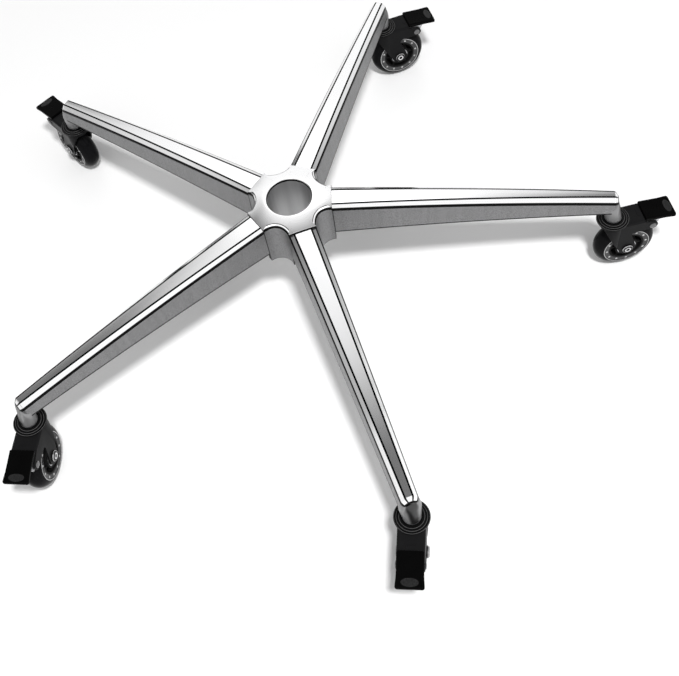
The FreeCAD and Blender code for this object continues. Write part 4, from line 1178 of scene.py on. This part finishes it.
class STARBASE_OT_pedals(bpy.types.Operator):
    """Makes the five moulded brake pedals and their oval pads"""
    bl_idname = "starbase.pedals"
    bl_label = "Brake Pedals"

    def execute(self, context):
        pedal = pedal_grid()
        pad = pad_grid()
        for k in range(ARM_COUNT):
            shell = Shell()
            shell.grid(at_caster(pedal, k), caps=True)
            finish_piece(shell.mesh_object(f"pedal_{k + 1}", 50.0), "pedal", f"brake_{k + 1}",
                         "pedal_plastic", f"caster_{k + 1}_pedal")
            shell = Shell()
            shell.grid(at_caster(pad, k), wrap_rows=True)
            finish_piece(shell.mesh_object(f"pedal_pad_{k + 1}", 50.0), "pad", f"brake_{k + 1}",
                         "pedal_plastic")
        return {"FINISHED"}


# The finish of each CAD piece, by its name without the caster's number
NODE_FINISHES = {"base_casting": "casting", "caster_stems": "zinc", "stem_grip_rings": "zinc",
                 "race_caps": "cap", "race_balls": "zinc", "fork": "coating", "tread": "tread",
                 "wheel_core": "core", "wheel_bearings": "zinc", "axle_barrel": "plating",
                 "axle_screw": "plating", "brake_pin": "rivet", "brake_lever": "zinc",
                 "brake_leaf": "zinc", "pedal": "pedal"}


class STARBASE_OT_cad_finishes(bpy.types.Operator):
    """Gives every CAD piece that stays in view its own finish"""
    bl_idname = "starbase.cad_finishes"
    bl_label = "Finishes of the CAD Pieces"

    def execute(self, context):
        for name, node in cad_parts.items():
            numbered = name.startswith("caster_") and name != "caster_stems"
            ending = name.split("_", 2)[2] if numbered else name
            if ending not in NODE_FINISHES:
                raise RuntimeError(f"no finish is named for the CAD piece {name}")
            node.data.materials.clear()
            node.data.materials.append(material(NODE_FINISHES[ending]))
        return {"FINISHED"}


def add_floor(stage):
    """The floor: its profile carried round the vertical axis."""
    ground = Shell()
    profile = [(radius, FLOOR + height) for radius, height in FLOOR_PROFILE]
    ground.grid(lathe(profile, 96), wrap_rows=True, wrap_columns=False)
    floor = ground.mesh_object("studio_floor", 60.0)
    floor.data.materials.append(floor_finish(stage))


def add_lamp(stage):
    """A disk lamp over the object that dull surfaces see and the camera doesn't."""
    lamp = bpy.data.lights.new("overhead_lamp", "AREA")
    lamp.shape = "DISK"
    lamp.size = LAMP_SIZE
    lamp.energy = stage.key_power
    made = bpy.data.objects.new("overhead_lamp", lamp)
    made.location = LAMP_PLACE
    made.rotation_euler = (Vector(LAMP_AIM) - Vector(LAMP_PLACE)).to_track_quat("-Z", "Y").to_euler()
    made.visible_camera = False
    made.visible_glossy = False
    bpy.context.scene.collection.objects.link(made)


def add_room(stage):
    """Room light with its softboxes, dimmer for dull surfaces and white to the camera."""
    world = bpy.data.worlds.new("room_light")
    world.use_nodes = True
    room = Graph(world.node_tree, "Background")
    light = stage.room
    for azimuth, elevation, full, gone in SOFTBOXES:
        facing = room.facing(azimuth, elevation)
        edge = math.cos(math.radians(gone))
        light = light + stage.softboxes * facing.ramp(edge, math.cos(math.radians(full)))
    camera_ray = room.ray("Is Camera Ray")
    glossy_ray = room.ray("Is Glossy Ray")
    seen = light * (glossy_ray + stage.room_share * (1 - glossy_ray))
    room.feed("Color", seen * (1 - camera_ray) + camera_ray)
    bpy.context.scene.world = world


def add_camera(stage):
    """A camera that looks from its place at its aim and is rolled about that line."""
    place = Vector(stage.camera_place)
    forward = (Vector(stage.camera_aim) - place).normalized()
    level = forward.cross(Vector((0.0, 0.0, 1.0))).normalized()
    above = level.cross(forward)
    right = level * math.cos(stage.camera_roll) + above * math.sin(stage.camera_roll)
    up = right.cross(forward)
    lens = bpy.data.cameras.new("photo_camera")
    lens.sensor_width = 36.0
    lens.lens = stage.focal_length
    lens.clip_start = 0.01
    camera = bpy.data.objects.new("photo_camera", lens)
    turn = Matrix((right, up, -forward)).transposed().to_4x4()
    camera.matrix_world = Matrix.Translation(place) @ turn
    bpy.context.scene.collection.objects.link(camera)
    bpy.context.scene.camera = camera


class STARBASE_OT_stage(bpy.types.Operator):
    """Sets up the floor, the lamp, the room light and the camera"""
    bl_idname = "starbase.stage"
    bl_label = "Stage"

    def execute(self, context):
        stage = context.scene.star_stage
        add_floor(stage)
        add_lamp(stage)
        add_room(stage)
        add_camera(stage)
        context.scene.view_settings.view_transform = "Standard"
        return {"FINISHED"}


class STARBASE_PT_panel(bpy.types.Panel):
    """Lists the pieces and their settings"""
    bl_idname = "STARBASE_PT_panel"
    bl_label = "Star Base"
    bl_space_type = "VIEW_3D"
    bl_region_type = "UI"
    bl_category = "Star Base"

    def draw(self, context):
        column = self.layout.column()
        for operator in OPERATORS:
            column.operator(operator.bl_idname)
        for group in (context.scene.star_sizes, context.scene.star_finishes, context.scene.star_stage):
            for name in group.bl_rna.properties.keys():
                if name not in ("rna_type", "name"):
                    column.prop(group, name)


OPERATORS = (STARBASE_OT_stage, STARBASE_OT_cad_finishes, STARBASE_OT_casting, STARBASE_OT_race_caps,
             STARBASE_OT_forks, STARBASE_OT_wheels, STARBASE_OT_axle_heads, STARBASE_OT_pedals)
CLASSES = (StarCastingSizes, StarFinishes, StarStage) + OPERATORS + (STARBASE_PT_panel,)


def register():
    for item in CLASSES:
        bpy.utils.register_class(item)
    bpy.types.Scene.star_sizes = bpy.props.PointerProperty(type=StarCastingSizes)
    bpy.types.Scene.star_finishes = bpy.props.PointerProperty(type=StarFinishes)
    bpy.types.Scene.star_stage = bpy.props.PointerProperty(type=StarStage)


def unregister():
    for name in ("star_stage", "star_finishes", "star_sizes"):
        delattr(bpy.types.Scene, name)
    for item in reversed(CLASSES):
        bpy.utils.unregister_class(item)


def main():
    register()
    bpy.ops.starbase.stage()
    bpy.ops.starbase.cad_finishes()
    bpy.ops.starbase.casting()
    bpy.ops.starbase.race_caps()
    bpy.ops.starbase.forks()
    bpy.ops.starbase.wheels()
    bpy.ops.starbase.axle_heads()
    bpy.ops.starbase.pedals()


if __name__ == "__main__":
    main()
